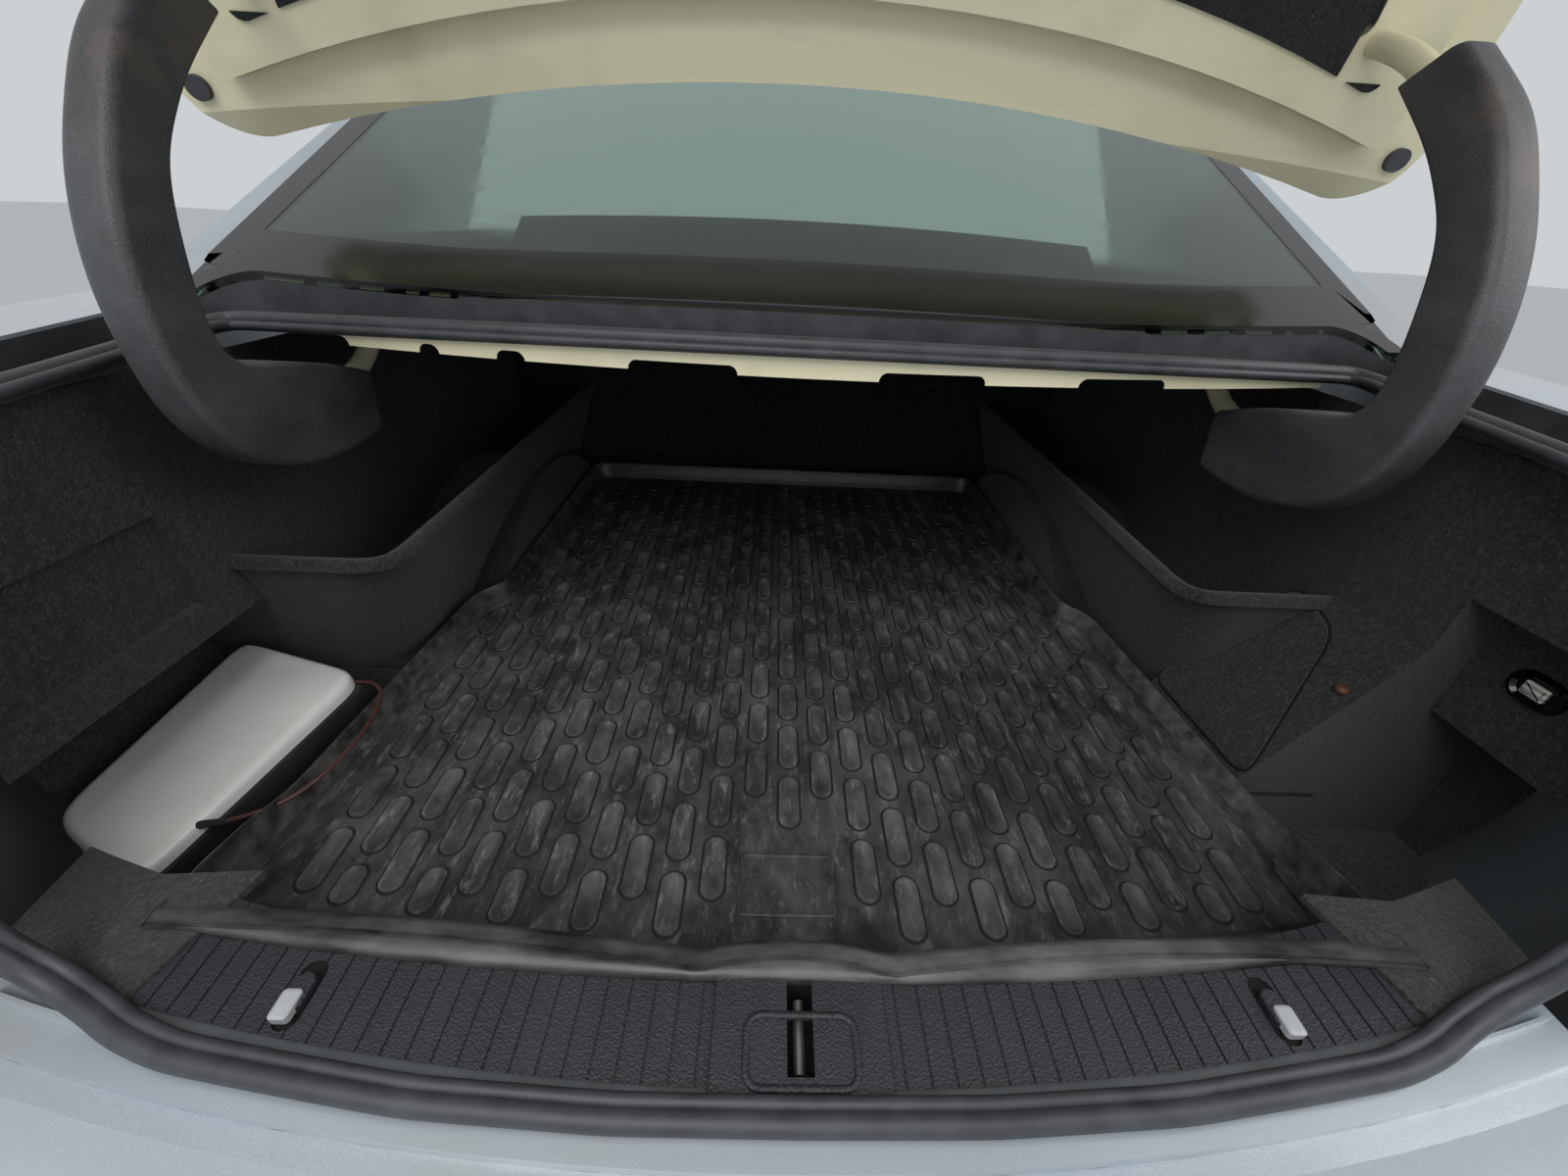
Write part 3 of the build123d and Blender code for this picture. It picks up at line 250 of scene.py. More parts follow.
def carried(path, profile, upward=(0, 0, 1), closed=False):
    """A closed profile carried along a path, each ring square to the run and its top kept upward."""
    path = np.asarray(path, float)
    if closed:
        ahead = np.roll(path, -1, 0) - np.roll(path, 1, 0)
    else:
        ahead = np.gradient(path, axis=0)
    ahead /= np.linalg.norm(ahead, axis=1, keepdims=True)
    side = np.cross(np.broadcast_to(np.asarray(upward, float), path.shape), ahead)
    side /= np.linalg.norm(side, axis=1, keepdims=True)
    above = np.cross(ahead, side)
    profile = np.asarray(profile, float)
    if profile.ndim == 2:
        profile = np.broadcast_to(profile, (len(path), *profile.shape))
    points = path[:, None] + side[:, None] * profile[..., :1] + above[:, None] * profile[..., 1:]
    return points.reshape(-1, 3), ring_faces(len(path), profile.shape[1], closed)


def bead(width, height, count=9, below=0.002):
    """Profile of a bead: half an ellipse of the given width and height on a foot let into its bed."""
    angle = np.linspace(0, math.pi, count)
    arch = np.stack([width / 2 * np.cos(angle), height * np.sin(angle)], -1)
    return np.vstack([arch, [[-width / 2, -below], [width / 2, -below]]])


def round_box(half_u, half_v, radius, per_corner=6):
    """Outline of a rounded rectangle: four quarter circles, with the outward direction at each point."""
    turn = (np.arange(4)[:, None] * math.pi / 2 + np.linspace(0, math.pi / 2, per_corner)[None]).ravel()
    outward = np.stack([np.cos(turn), np.sin(turn)], -1)
    quarter = np.repeat(np.arange(4), per_corner)
    corner = np.array([(1, 1), (-1, 1), (-1, -1), (1, -1)])[quarter]
    return corner * (np.array([half_u, half_v]) - radius) + radius * outward, outward


def ring(count):
    """Unit circle: evenly spaced points by their cosine and sine."""
    angle = np.arange(count) * 2 * math.pi / count
    return np.stack([np.cos(angle), np.sin(angle)], -1)


def round_polygon(corners, radius, count=64):
    """Outline of a polygon with softened corners, and the outward direction at each point."""
    outline = rounded_path(corners, count, 2 * radius, closed=True)
    ahead = np.roll(outline, -1, 0) - np.roll(outline, 1, 0)
    outward = np.stack([ahead[:, 1], -ahead[:, 0]], -1)
    return outline, outward / np.linalg.norm(outward, axis=1, keepdims=True)


def raised(shape, rings, place):
    """Closed pad: the outline drawn in and lifted ring by ring, then placed on its bed."""
    outline, outward = shape
    inset, lift = np.asarray(rings, float).T
    drawn = outline[None] - outward[None] * inset[:, None, None]
    height = np.broadcast_to(lift[:, None], drawn.shape[:2])
    points = place(drawn[..., 0], drawn[..., 1], height)
    return np.stack(points, -1).reshape(-1, 3), ring_faces(len(lift), len(outline))


def level_at(x, y, z):
    """Level bed for a pad, whose middle lies at x, y, z."""
    return lambda u, v, h: (x + u, y + v, z + h)


def gathered(*parts):
    """Several meshes as one: each part's faces count on from the points before it."""
    points, faces, start = [], [], 0
    for part_points, part_faces in parts:
        points.append(np.asarray(part_points).reshape(-1, 3))
        faces += [[index + start for index in face] for face in part_faces]
        start += len(points[-1])
    return np.vstack(points), faces


def both_sides(part):
    """The part and its mirror image across the middle of the car."""
    points, faces = part
    return gathered(part, (points * np.array([-1, 1, 1]), [face[::-1] for face in faces]))


def add_piece(name, part, key, stands_for=(), body="section", sharp=35, wall=0.0):
    """Mesh object at the origin, doubles merged and faces turned outwards, riding on a body.

    An open sheet that gets a wall keeps the turn of its faces, and the wall grows inwards.
    """
    points, faces = part
    mesh = bpy.data.meshes.new(name)
    mesh.from_pydata(np.asarray(points).tolist(), [], [list(face) for face in faces])
    shape = bmesh.new()
    shape.from_mesh(mesh)
    bmesh.ops.remove_doubles(shape, verts=shape.verts, dist=1e-6)
    if not wall:
        bmesh.ops.recalc_face_normals(shape, faces=shape.faces)
    shape.to_mesh(mesh)
    shape.free()
    mesh.materials.append(finish[key])
    mesh.shade_smooth()
    mesh.set_sharp_from_angle(angle=math.radians(sharp))
    made = bpy.data.objects.new(name, mesh)
    bpy.context.scene.collection.objects.link(made)
    if wall:
        skin = made.modifiers.new("wall", "SOLIDIFY")
        skin.thickness = wall
        skin.offset = -1
    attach(made, body)
    if stands_for:
        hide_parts(*stands_for)
    return made


# Finishes

def linear(code, alpha=1.0):
    """sRGB hex to linear colour: below 0.04045 divide by 12.92, above raise to 2.4."""
    value = np.array([int(code[i:i + 2], 16) / 255 for i in (1, 3, 5)])
    value = np.where(value <= 0.04045, value / 12.92, ((value + 0.055) / 1.055) ** 2.4)
    return (*value, alpha)


def shaded(colour, factor):
    """A colour made darker or paler by a factor, kept within 1."""
    return (*[min(channel * factor, 1.0) for channel in colour[:3]], 1.0)


def wire(tree, node, inputs):
    """Links each input of the node to the socket given for it, or sets it to the plain value."""
    for key, value in inputs.items():
        if isinstance(value, bpy.types.NodeSocket):
            tree.links.new(value, node.inputs[key])
        else:
            node.inputs[key].default_value = value


def add_node(tree, kind, inputs, **settings):
    """One shader node with its settings and its inputs."""
    node = tree.nodes.new(kind)
    for key, value in settings.items():
        setattr(node, key, value)
    wire(tree, node, inputs)
    return node


def new_material(name):
    """Node material with its output and Principled shader, and Object coordinates to read."""
    material = bpy.data.materials.new(name)
    material.use_nodes = True
    tree = material.node_tree
    tree.nodes.clear()
    shader = add_node(tree, "ShaderNodeBsdfPrincipled", {})
    add_node(tree, "ShaderNodeOutputMaterial", {"Surface": shader.outputs["BSDF"]})
    coords = add_node(tree, "ShaderNodeTexCoord", {})
    return material, tree, shader, coords.outputs["Object"]


def noise(tree, coords, scale, detail=3.0, rough=0.55, stretch=(1, 1, 1)):
    """Noise value on Object coordinates; scale is cycles per metre."""
    mapped = add_node(tree, "ShaderNodeMapping", {"Vector": coords, "Scale": stretch})
    inputs = {
        "Vector": mapped.outputs["Vector"], "Scale": scale, "Detail": detail, "Roughness": rough,
    }
    return add_node(tree, "ShaderNodeTexNoise", inputs).outputs["Fac"]


def ramp(tree, factor, stops):
    """Colour ramp from (position, colour) stops."""
    made = add_node(tree, "ShaderNodeValToRGB", {"Fac": factor})
    while len(made.color_ramp.elements) < len(stops):
        made.color_ramp.elements.new(0.5)
    for element, (position, colour) in zip(made.color_ramp.elements, stops):
        element.position = position
        element.color = colour
    return made.outputs["Color"]


def spread(tree, factor, low, high, start=0.0, end=1.0):
    """Maps start..end to low..high, held at the ends."""
    inputs = {"Value": factor, "From Min": start, "From Max": end, "To Min": low, "To Max": high}
    return add_node(tree, "ShaderNodeMapRange", inputs).outputs["Result"]


def blended(tree, factor, first, second):
    """One colour laid over another by a factor."""
    inputs = {0: factor, 6: first, 7: second}
    return add_node(tree, "ShaderNodeMix", inputs, data_type="RGBA").outputs[2]


def product(tree, first, second):
    """Two values multiplied."""
    return add_node(tree, "ShaderNodeMath", {0: first, 1: second}, operation="MULTIPLY").outputs["Value"]


def bump(tree, shader, height, distance, strength=1.0, normal=None):
    """Bump from a height value, distance in metres, over an earlier bump's normal."""
    inputs = {"Height": height, "Distance": distance, "Strength": strength}
    if normal is not None:
        inputs["Normal"] = normal
    bent = add_node(tree, "ShaderNodeBump", inputs).outputs["Normal"]
    wire(tree, shader, {"Normal": bent})
    return bent


def mottled(name, colour, depth, scale, roughness, grain, grain_scale, metallic=0.0, coat=0.0):
    """General finish: the colour in soft patches darker and paler by depth, with a fine grain."""
    material, tree, shader, coords = new_material(name)
    patches = noise(tree, coords, scale, 4.0)
    stops = [(0.3, shaded(colour, 1 - depth)), (0.7, shaded(colour, 1 + depth))]
    wire(tree, shader, {
        "Base Color": ramp(tree, patches, stops),
        "Roughness": spread(tree, patches, *roughness),
        "Metallic": metallic,
        "Coat Weight": coat,
    })
    bump(tree, shader, noise(tree, coords, grain_scale, 2.0), grain)
    return material


def dusty_lacquer(name, colour):
    """Metallic lacquer: fine flakes under a clear coat, dulled by dust in clouds and streaks."""
    material, tree, shader, coords = new_material(name)
    flakes = noise(tree, coords, 1400, 2.0)
    dust = noise(tree, coords, 6, 5.0, 0.6, (1, 1, 0.4))
    paint = ramp(tree, flakes, [(0.35, shaded(colour, 0.88)), (0.65, shaded(colour, 1.12))])
    wire(tree, shader, {
        "Base Color": blended(tree, spread(tree, dust, 0.0, 0.5, 0.45, 0.8), paint, linear("#A39E94")),
        "Roughness": spread(tree, dust, 0.28, 0.5),
        "Metallic": 0.35,
        "Coat Weight": 0.6,
        "Coat Roughness": 0.12,
    })
    bump(tree, shader, noise(tree, coords, 900, 2.0), 0.00002)
    return material


def ivory_paint(name, colour):
    """Inner paint: warm satin coat with orange peel, thin dust clouds and faint wipe marks."""
    material, tree, shader, coords = new_material(name)
    dust = noise(tree, coords, 8, 5.0, 0.6)
    wipes = noise(tree, coords, 60, 4.0, 0.6, (0.15, 1, 1))
    over = blended(tree, spread(tree, dust, 0.0, 0.35, 0.5, 0.8), colour, linear("#A89F84"))
    over = blended(tree, spread(tree, wipes, 0.0, 0.15, 0.55, 0.8), over, linear("#8F8870"))
    wire(tree, shader, {
        "Base Color": over, "Roughness": spread(tree, dust, 0.26, 0.48), "Coat Weight": 0.3,
    })
    bump(tree, shader, noise(tree, coords, 420, 2.0), 0.00005)
    return material


def needle_felt(name, colour, dust_share):
    """Needle felt: tangled fibres, drawn 4 mm coarse so that they show, with brown dust and specks."""
    material, tree, shader, coords = new_material(name)
    fibres = noise(tree, coords, 240, 6.0, 0.85)
    clumps = noise(tree, coords, 60, 4.0, 0.7)
    clouds = noise(tree, coords, 5, 4.0)
    specks = noise(tree, coords, 260, 2.0)
    base = ramp(tree, fibres, [(0.40, shaded(colour, 0.2)), (0.52, colour), (0.63, shaded(colour, 4.5))])
    base = blended(tree, spread(tree, clumps, 0.0, 0.5, 0.5, 0.75), base, shaded(colour, 1.7))
    base = blended(tree, spread(tree, clouds, 0.0, dust_share, 0.4, 0.75), base, linear("#403A33"))
    base = blended(tree, spread(tree, specks, 0.0, 0.5, 0.72, 0.8), base, linear("#8C857A"))
    wire(tree, shader, {
        "Base Color": base,
        "Roughness": 1.0,
        "Sheen Weight": 0.2,
        "Sheen Roughness": 0.6,
        "Specular IOR Level": 0.12,
    })
    soft = bump(tree, shader, clumps, 0.004, 0.5)
    bump(tree, shader, fibres, 0.0015, 0.9, soft)
    return material


def grained_plastic(name, colour, pale, depth, scale, worn=0.0):
    """Moulded plastic: a pebble grain of cells 1 to 2 mm wide, paler streaks of painted sheen and brown
    rub marks.
    """
    material, tree, shader, coords = new_material(name)
    cells = add_node(tree, "ShaderNodeTexVoronoi", {"Vector": coords, "Scale": scale}).outputs["Distance"]
    streaks = noise(tree, coords, 18, 5.0, 0.65, (1, 0.3, 1))
    marks = noise(tree, coords, 16, 6.0, 0.75, (1.0, 0.6, 0.5))
    # Paler streaks in the pale colour: painted sheen
    base = ramp(tree, streaks, [(0.35, colour), (0.75, pale)])
    base = blended(tree, spread(tree, cells, 0.0, 0.35, 0.3, 0.8), base, shaded(pale, 1.5))
    base = blended(tree, spread(tree, marks, 0.0, worn, 0.54, 0.68), base, linear("#76604F"))
    wire(tree, shader, {"Base Color": base, "Roughness": spread(tree, streaks, 0.40, 0.6)})
    bump(tree, shader, cells, depth)
    return material


def worn_rubber(name, colour, dust):
    """Moulded rubber: dark, rubbed to dusty grey in clouds, with fine scratches along the car."""
    material, tree, shader, coords = new_material(name)
    clouds = noise(tree, coords, 4.5, 5.0, 0.6, (1, 0.8, 1))
    smears = noise(tree, coords, 26, 6.0, 0.75, (1, 0.6, 1))
    scratches = noise(tree, coords, 85, 6.0, 0.8, (1, 0.3, 1))
    worn = product(tree, clouds, smears)
    base = ramp(tree, smears, [(0.3, shaded(colour, 0.55)), (0.55, colour), (0.8, shaded(colour, 1.9))])
    base = blended(tree, spread(tree, worn, 0.0, 0.6, 0.20, 0.45), base, dust)
    base = blended(tree, spread(tree, scratches, 0.0, 0.7, 0.54, 0.70), base, shaded(dust, 1.5))
    wire(tree, shader, {"Base Color": base, "Roughness": spread(tree, smears, 0.34, 0.62)})
    bump(tree, shader, scratches, 0.00035, 0.7)
    return material


def rubbed_lip(name, colour, pale):
    """Glossy black rubber edge, rubbed pale in long soft patches where luggage slides over it."""
    material, tree, shader, coords = new_material(name)
    patches = noise(tree, coords, 5, 2.0, 0.5, (1, 0.4, 1))
    streaks = noise(tree, coords, 45, 3.0, 0.6, (0.35, 1, 1))
    rubbed = spread(tree, product(tree, patches, streaks), 0.0, 0.45, 0.16, 0.42)
    wire(tree, shader, {
        "Base Color": blended(tree, rubbed, colour, pale),
        "Roughness": spread(tree, streaks, 0.22, 0.45),
    })
    bump(tree, shader, streaks, 0.0002, 0.6)
    return material


def tinted_glass(name, colour):
    """Toughened tinted glass, clear, with dust in thin clouds that dull it a little."""
    material, tree, shader, coords = new_material(name)
    dust = noise(tree, coords, 30, 6.0, 0.65, (0.3, 1, 1))
    wire(tree, shader, {
        "Base Color": colour,
        "Roughness": spread(tree, dust, 0.0, 0.16, 0.35, 0.8),
        "Transmission Weight": 1.0,
        "IOR": 1.5,
    })
    return material


def ribbed_lamp(name, colour):
    """Moulded acrylic lamp: glossy and coloured, with ribs every 6 mm under the surface."""
    material, tree, shader, coords = new_material(name)
    wave = add_node(tree, "ShaderNodeTexWave", {"Vector": coords, "Scale": 52.0}, bands_direction="Z")
    ribs = wave.outputs["Fac"]
    wire(tree, shader, {
        "Base Color": ramp(tree, ribs, [(0.2, shaded(colour, 0.6)), (0.8, shaded(colour, 1.25))]),
        "Roughness": 0.12,
        "Coat Weight": 1.0,
    })
    bump(tree, shader, ribs, 0.0005, 0.5)
    return material


# Plain finishes: the material's name, its colour, how far and how finely that varies, its roughness,
# the depth and fineness of its grain, and how metallic it is
PLAIN_FINISHES = {
    # Coating under the body: dull, with coarse pimples
    "underbody": ("underbody_coating", "#303133", 0.2, 20, (0.7, 0.95), 0.0006, 240),
    # Hollow rubber of the seal: dark grey with a soft sheen
    "seal": ("hollow_seal_epdm", "#3A3C40", 0.3, 35, (0.38, 0.62), 0.00005, 700),
    # Edge of the sill: mid grey, a thin line between the scuff plate and the seal
    "edge": ("sill_edge_grey", "#55585B", 0.2, 30, (0.45, 0.6), 0.00008, 700),
    # Fibre board: dry and brown, with no shine
    "board": ("fibre_board_dusty", "#2E2822", 0.25, 30, (0.8, 0.95), 0.0002, 400),
    # Zinc plate: pale metal in cloudy patches
    "zinc": ("zinc_plated_steel", "#A3A39D", 0.15, 60, (0.3, 0.5), 0.00003, 500, 0.9),
    # Clips: brown with a weak metal shine
    "bronze": ("clip_bronze_brown", "#6A4A36", 0.3, 80, (0.35, 0.55), 0.00003, 500, 0.4),
    # Window border, trim and lamp bezel: near black with sharp reflections
    "trim": ("black_trim_gloss", "#08090A", 0.4, 25, (0.10, 0.24), 0.00001, 300),
    # Slots and gaps: painted shade, a dull black that reads as depth
    "hollow": ("shadowed_opening_black", "#060606", 0.3, 40, (0.9, 1.0), 0.00005, 500),
    # Grooves round the blocks: painted shade, a flat ring blacker than the mat
    "groove": ("moulded_rubber_groove", "#121212", 0.3, 40, (0.6, 0.8), 0.00005, 500),
    # Base of the sign and gland of its lead: matt dark rubber
    "sign_base": ("rubber_base_dark", "#232324", 0.25, 30, (0.6, 0.85), 0.0001, 500),
    # Lead: smooth red brown sheath
    "lead": ("pvc_lead_red_brown", "#4C2E2A", 0.2, 60, (0.4, 0.6), 0.00002, 600),
    # Blank number plate: even white with a little shine
    "plate": ("blank_plate_white", "#DEDED8", 0.04, 20, (0.35, 0.5), 0.00001, 300),
    # Tabs of the hooks: pale grey plastic
    "pale_plastic": ("tab_plastic_pale_grey", "#A9ABAD", 0.12, 60, (0.4, 0.6), 0.00004, 600),
}


def all_finishes(tone):
    """Every finish by name, from the colours that the panel offers."""
    paint, ivory, felt, rubber, plastic, white = (
        (*tuple(colour)[:3], 1.0)
        for colour in (tone.paint, tone.ivory, tone.felt, tone.rubber, tone.plastic, tone.sign)
    )
    made = {
        key: mottled(name, linear(code), *rest)
        for key, (name, code, *rest) in PLAIN_FINISHES.items()
    }
    made.update({
        "lacquer": dusty_lacquer("metallic_lacquer_silver_blue", paint),
        "ivory": ivory_paint("satin_paint_ivory", ivory),
        "felt": needle_felt("needle_felt_charcoal", felt, 0.32),
        # The lid's felt is blacker and cleaner than the liners'
        "lid_felt": needle_felt("moulded_felt_black", shaded(felt, 0.45), 0.1),
        # The sign's acrylic: white with faint grey soiling under a clear shine
        "sign_white": mottled(
            "acrylic_white_soiled", white, 0.05, 10, (0.22, 0.42), 0.00001, 400, coat=0.3
        ),
        "scuff": grained_plastic(
            "grained_polypropylene_blue_grey", plastic, shaded(plastic, 1.7), 0.0004, 620
        ),
        # The hinge covers are greyer and carry the brown rub marks; their pale colour is a painted sheen
        "cover": grained_plastic(
            "hinge_cover_polypropylene", linear("#2A2B2D"), linear("#4A4C4F"), 0.0002, 800, 0.3
        ),
        "mat": worn_rubber("moulded_rubber_worn", rubber, linear("#6B6967")),
        # The blocks' tops are drawn paler than the mat
        "mat_block": worn_rubber(
            "moulded_rubber_paler_tops", shaded(rubber, 1.35), linear("#757371")
        ),
        "mat_lip": rubbed_lip("moulded_rubber_lip", shaded(rubber, 0.55), linear("#8F8D8A")),
        "glass": tinted_glass("toughened_glass_green", linear("#8FA79B")),
        "lamp_red": ribbed_lamp("lamp_acrylic_red", linear("#7A0B10")),
        "lamp_dark_red": ribbed_lamp("lamp_acrylic_dark_red", linear("#4A1014")),
        "lamp_clear": ribbed_lamp("lamp_acrylic_clear", linear("#CFCFC6")),
    })
    return made


finish = {}
CAD_FINISH = {
    "lacquer": (
        "quarter_right", "quarter_left", "roof_header", "rear_panel", "bumper_cover", "lid_skin",
    ),
    "ivory": (
        "shelf_cross_member", "seat_bulkhead", "floor_pan", "spare_tub",
        "lid_inner", "hinge_arm_right", "hinge_arm_left",
    ),
    "underbody": ("wheelhouses", "chassis_rails"),
    "felt": (
        "liner_right", "liner_left", "well_liner_right", "well_liner_left",
        "liner_front", "access_cover", "parcel_shelf",
    ),
    "lid_felt": ("lid_liner",),
    "seal": ("opening_seal", "opening_gutter", "lid_buffers"),
    "board": ("floor_board",),
    "zinc": ("striker_loop", "hinge_brackets"),
    "trim": ("glass_trim", "brake_lamp"),
    "sign_white": ("sign_shell",),
    "sign_base": ("sign_base",),
    "lead": ("sign_lead",),
    "plate": ("plate_panel",),
    "scuff": ("scuff_plate", "sill_hooks", "striker_cover", "lid_latch"),
    "cover": ("hinge_cover_right", "hinge_cover_left"),
    "mat": ("boot_mat",),
    "glass": ("rear_glass",),
    "lamp_red": ("tail_lamps",),
    "lamp_clear": ("boot_lamp",),
}


# Sizes and colours that a user would change

def length_property(name, description, default):
    """Length in metres that the panel offers."""
    return bpy.props.FloatProperty(
        name=name, description=description, default=default, unit="LENGTH", precision=4
    )


def colour_property(name, description, code):
    """Colour that the panel offers, its default given as an sRGB hex code."""
    return bpy.props.FloatVectorProperty(
        name=name, description=description, default=linear(code)[:3], subtype="COLOR", min=0, max=1
    )


class BootSizes(bpy.types.PropertyGroup):
    """Sizes of the pieces that the scene adds"""
    block_pitch: length_property("Block pitch", "Spacing of the mat's columns of blocks", 0.0383)
    row_pitch: length_property("Row pitch", "Spacing of the blocks along the car", 0.081)
    block_long: length_property("Block length", "Length of one raised block", 0.068)
    block_wide: length_property("Block width", "Width of one raised block", 0.0235)
    block_high: length_property("Block height", "Height of a block over the mat", 0.0026)
    side_lip: length_property("Side lip", "Height of the mat's side lips over its floor", 0.034)
    rear_lip: length_property("Rear lip", "Height of the mat's rear lip over its floor", 0.0935)
    seal_wide: length_property("Seal width", "Width of the hollow bead of the seal", 0.0145)
    rim_round: length_property("Pocket rim", "Width of the rolled felt rim of the hinge pockets", 0.020)
    glass_border: length_property("Glass border", "Width of the border along the window's foot", 0.060)


class BootColours(bpy.types.PropertyGroup):
    """Colours of the main finishes"""
    paint: colour_property("Body paint", "Pale silver blue lacquer of the outer body", "#A9B2BA")
    ivory: colour_property("Inner paint", "Ivory paint inside the lid and on the cross member", "#E4DDBC")
    felt: colour_property("Felt", "Charcoal felt of the liners", "#202020")
    rubber: colour_property("Mat rubber", "Black rubber of the mat, before its wear", "#343333")
    plastic: colour_property("Scuff plate", "Dark blue grey plastic of the sill", "#1E1F23")
    sign: colour_property("Sign", "White plastic of the roof sign", "#E9E8E4")


class BootCamera(bpy.types.Operator):
    """Camera at the photograph's place: a wide lens just behind the sill, looking down into the boot"""
    bl_idname = "boot.camera"
    bl_label = "Camera"

    def execute(self, context):
        yaw, pitch, roll = (math.radians(angle) for angle in CAMERA_TURNS)
        along = math.cos(pitch)
        ahead = np.array([math.sin(yaw) * along, math.cos(yaw) * along, -math.sin(pitch)])
        level = np.array([math.cos(yaw), -math.sin(yaw), 0])
        above = np.cross(level, ahead)
        data = bpy.data.cameras.new("camera")
        data.sensor_width = CAMERA_SENSOR
        data.lens = CAMERA_LENS
        data.clip_start = 0.01
        camera = bpy.data.objects.new("camera", data)
        context.scene.collection.objects.link(camera)
        turned = np.eye(4)
        turned[:3, 0] = math.cos(roll) * level + math.sin(roll) * above
        turned[:3, 1] = math.cos(roll) * above - math.sin(roll) * level
        turned[:3, 2] = -ahead
        turned[:3, 3] = CAMERA_PLACE
        camera.matrix_world = Matrix(turned.tolist())
        context.scene.camera = camera
        return {"FINISHED"}


class BootFinishes(bpy.types.Operator):
    """Makes the finishes and puts them on the frame's own pieces"""
    bl_idname = "boot.finishes"
    bl_label = "Finishes"

    def execute(self, context):
        finish.update(all_finishes(context.scene.boot_colours))
        for key, names in CAD_FINISH.items():
            for name in names:
                mesh = nodes[name].data
                mesh.materials.clear()
                mesh.materials.append(finish[key])
        return {"FINISHED"}


class BootLead(bpy.types.Operator):
    """Lead of the stowed sign: one loose loop that leaves its base and goes back into it"""
    bl_idname = "boot.lead"
    bl_label = "Sign lead"

    def execute(self, context):
        data = bpy.data.curves.new("lead", "CURVE")
        data.dimensions = "3D"
        data.bevel_depth = LEAD_DIAMETER / 2
        data.bevel_resolution = 4
        data.resolution_u = 12
        data.use_fill_caps = True
        line = data.splines.new("NURBS")
        line.points.add(len(LEAD_ROUTE) - 1)
        line.points.foreach_set("co", np.column_stack([LEAD_ROUTE, np.ones(len(LEAD_ROUTE))]).ravel())
        line.order_u = 3
        line.use_endpoint_u = True
        data.materials.append(finish["lead"])
        lead = bpy.data.objects.new("lead", data)
        context.scene.collection.objects.link(lead)
        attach(lead, "section")
        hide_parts("sign_lead")
        return {"FINISHED"}


class BootStage(bpy.types.Operator):
    """Pale floor, world light and soft lamps"""
    bl_idname = "boot.stage"
    bl_label = "Stage"

    def execute(self, context):
        scene = context.scene
        scene.view_settings.view_transform = "Standard"
        low = cad_low.z - FLOOR_GAP
        corners = FLOOR_HALF * np.array([(-1, -1, 0), (1, -1, 0), (1, 1, 0), (-1, 1, 0)])
        mesh = bpy.data.meshes.new("floor")
        mesh.from_pydata((corners + np.array([0, 0, low])).tolist(), [], [(0, 1, 2, 3)])
        floor = bpy.data.objects.new("floor", mesh)
        scene.collection.objects.link(floor)
        material, _, shader, _ = new_material("studio_floor_pale")
        shader.inputs["Base Color"].default_value = linear("#D9DADB")
        shader.inputs["Roughness"].default_value = 0.9
        mesh.materials.append(material)
        world = bpy.data.worlds.new("studio")
        world.use_nodes = True
        scene.world = world
        back = world.node_tree.nodes["Background"]
        back.inputs["Color"].default_value = linear("#E8ECEF")
        back.inputs["Strength"].default_value = WORLD_STRENGTH
        for name, place, aim, power, width in LAMPS:
            data = bpy.data.lights.new(name, "AREA")
            data.energy = power
            data.size = width
            light = bpy.data.objects.new(name, data)
            scene.collection.objects.link(light)
            turn = Vector(np.subtract(aim, place)).to_track_quat("-Z", "Y").to_matrix().to_4x4()
            light.matrix_world = Matrix.Translation(place) @ turn
        return {"FINISHED"}


def mat_floor_outline():
    """Plan of the mat's floor: rear edge bowed by 40 mm, sides drawn in at the wheel boxes."""
    across = np.linspace(-1, 1, 9) * MAT_HALF
    rear = np.stack([across, bowed(across, MAT_REAR, MAT_BOW, BOW_HALF)], -1)
    right = np.array([(0.482, -0.745), (0.446, -0.700), (0.446, MAT_FRONT)])
    left = right[::-1] * np.array([-1, 1])
    return round_polygon(np.vstack([rear, right, left]), 0.026, 420)


def mat_crest(x):
    """Crest of the rear lip in plan: three chords, each bowed forwards by about 10 mm."""
    knots_x = np.array([-CREST_HALF, -0.073, 0.067, CREST_HALF])
    knots_y = np.array([-1.268, -1.292, -1.294, -1.281])
    bow = np.array([0.007, 0.010, 0.011])
    span = np.clip(np.searchsorted(knots_x, x) - 1, 0, 2)
    share = np.clip((x - knots_x[span]) / (knots_x[span + 1] - knots_x[span]), 0, 1)
    return np.interp(x, knots_x, knots_y) + 4 * bow[span] * share * (1 - share)


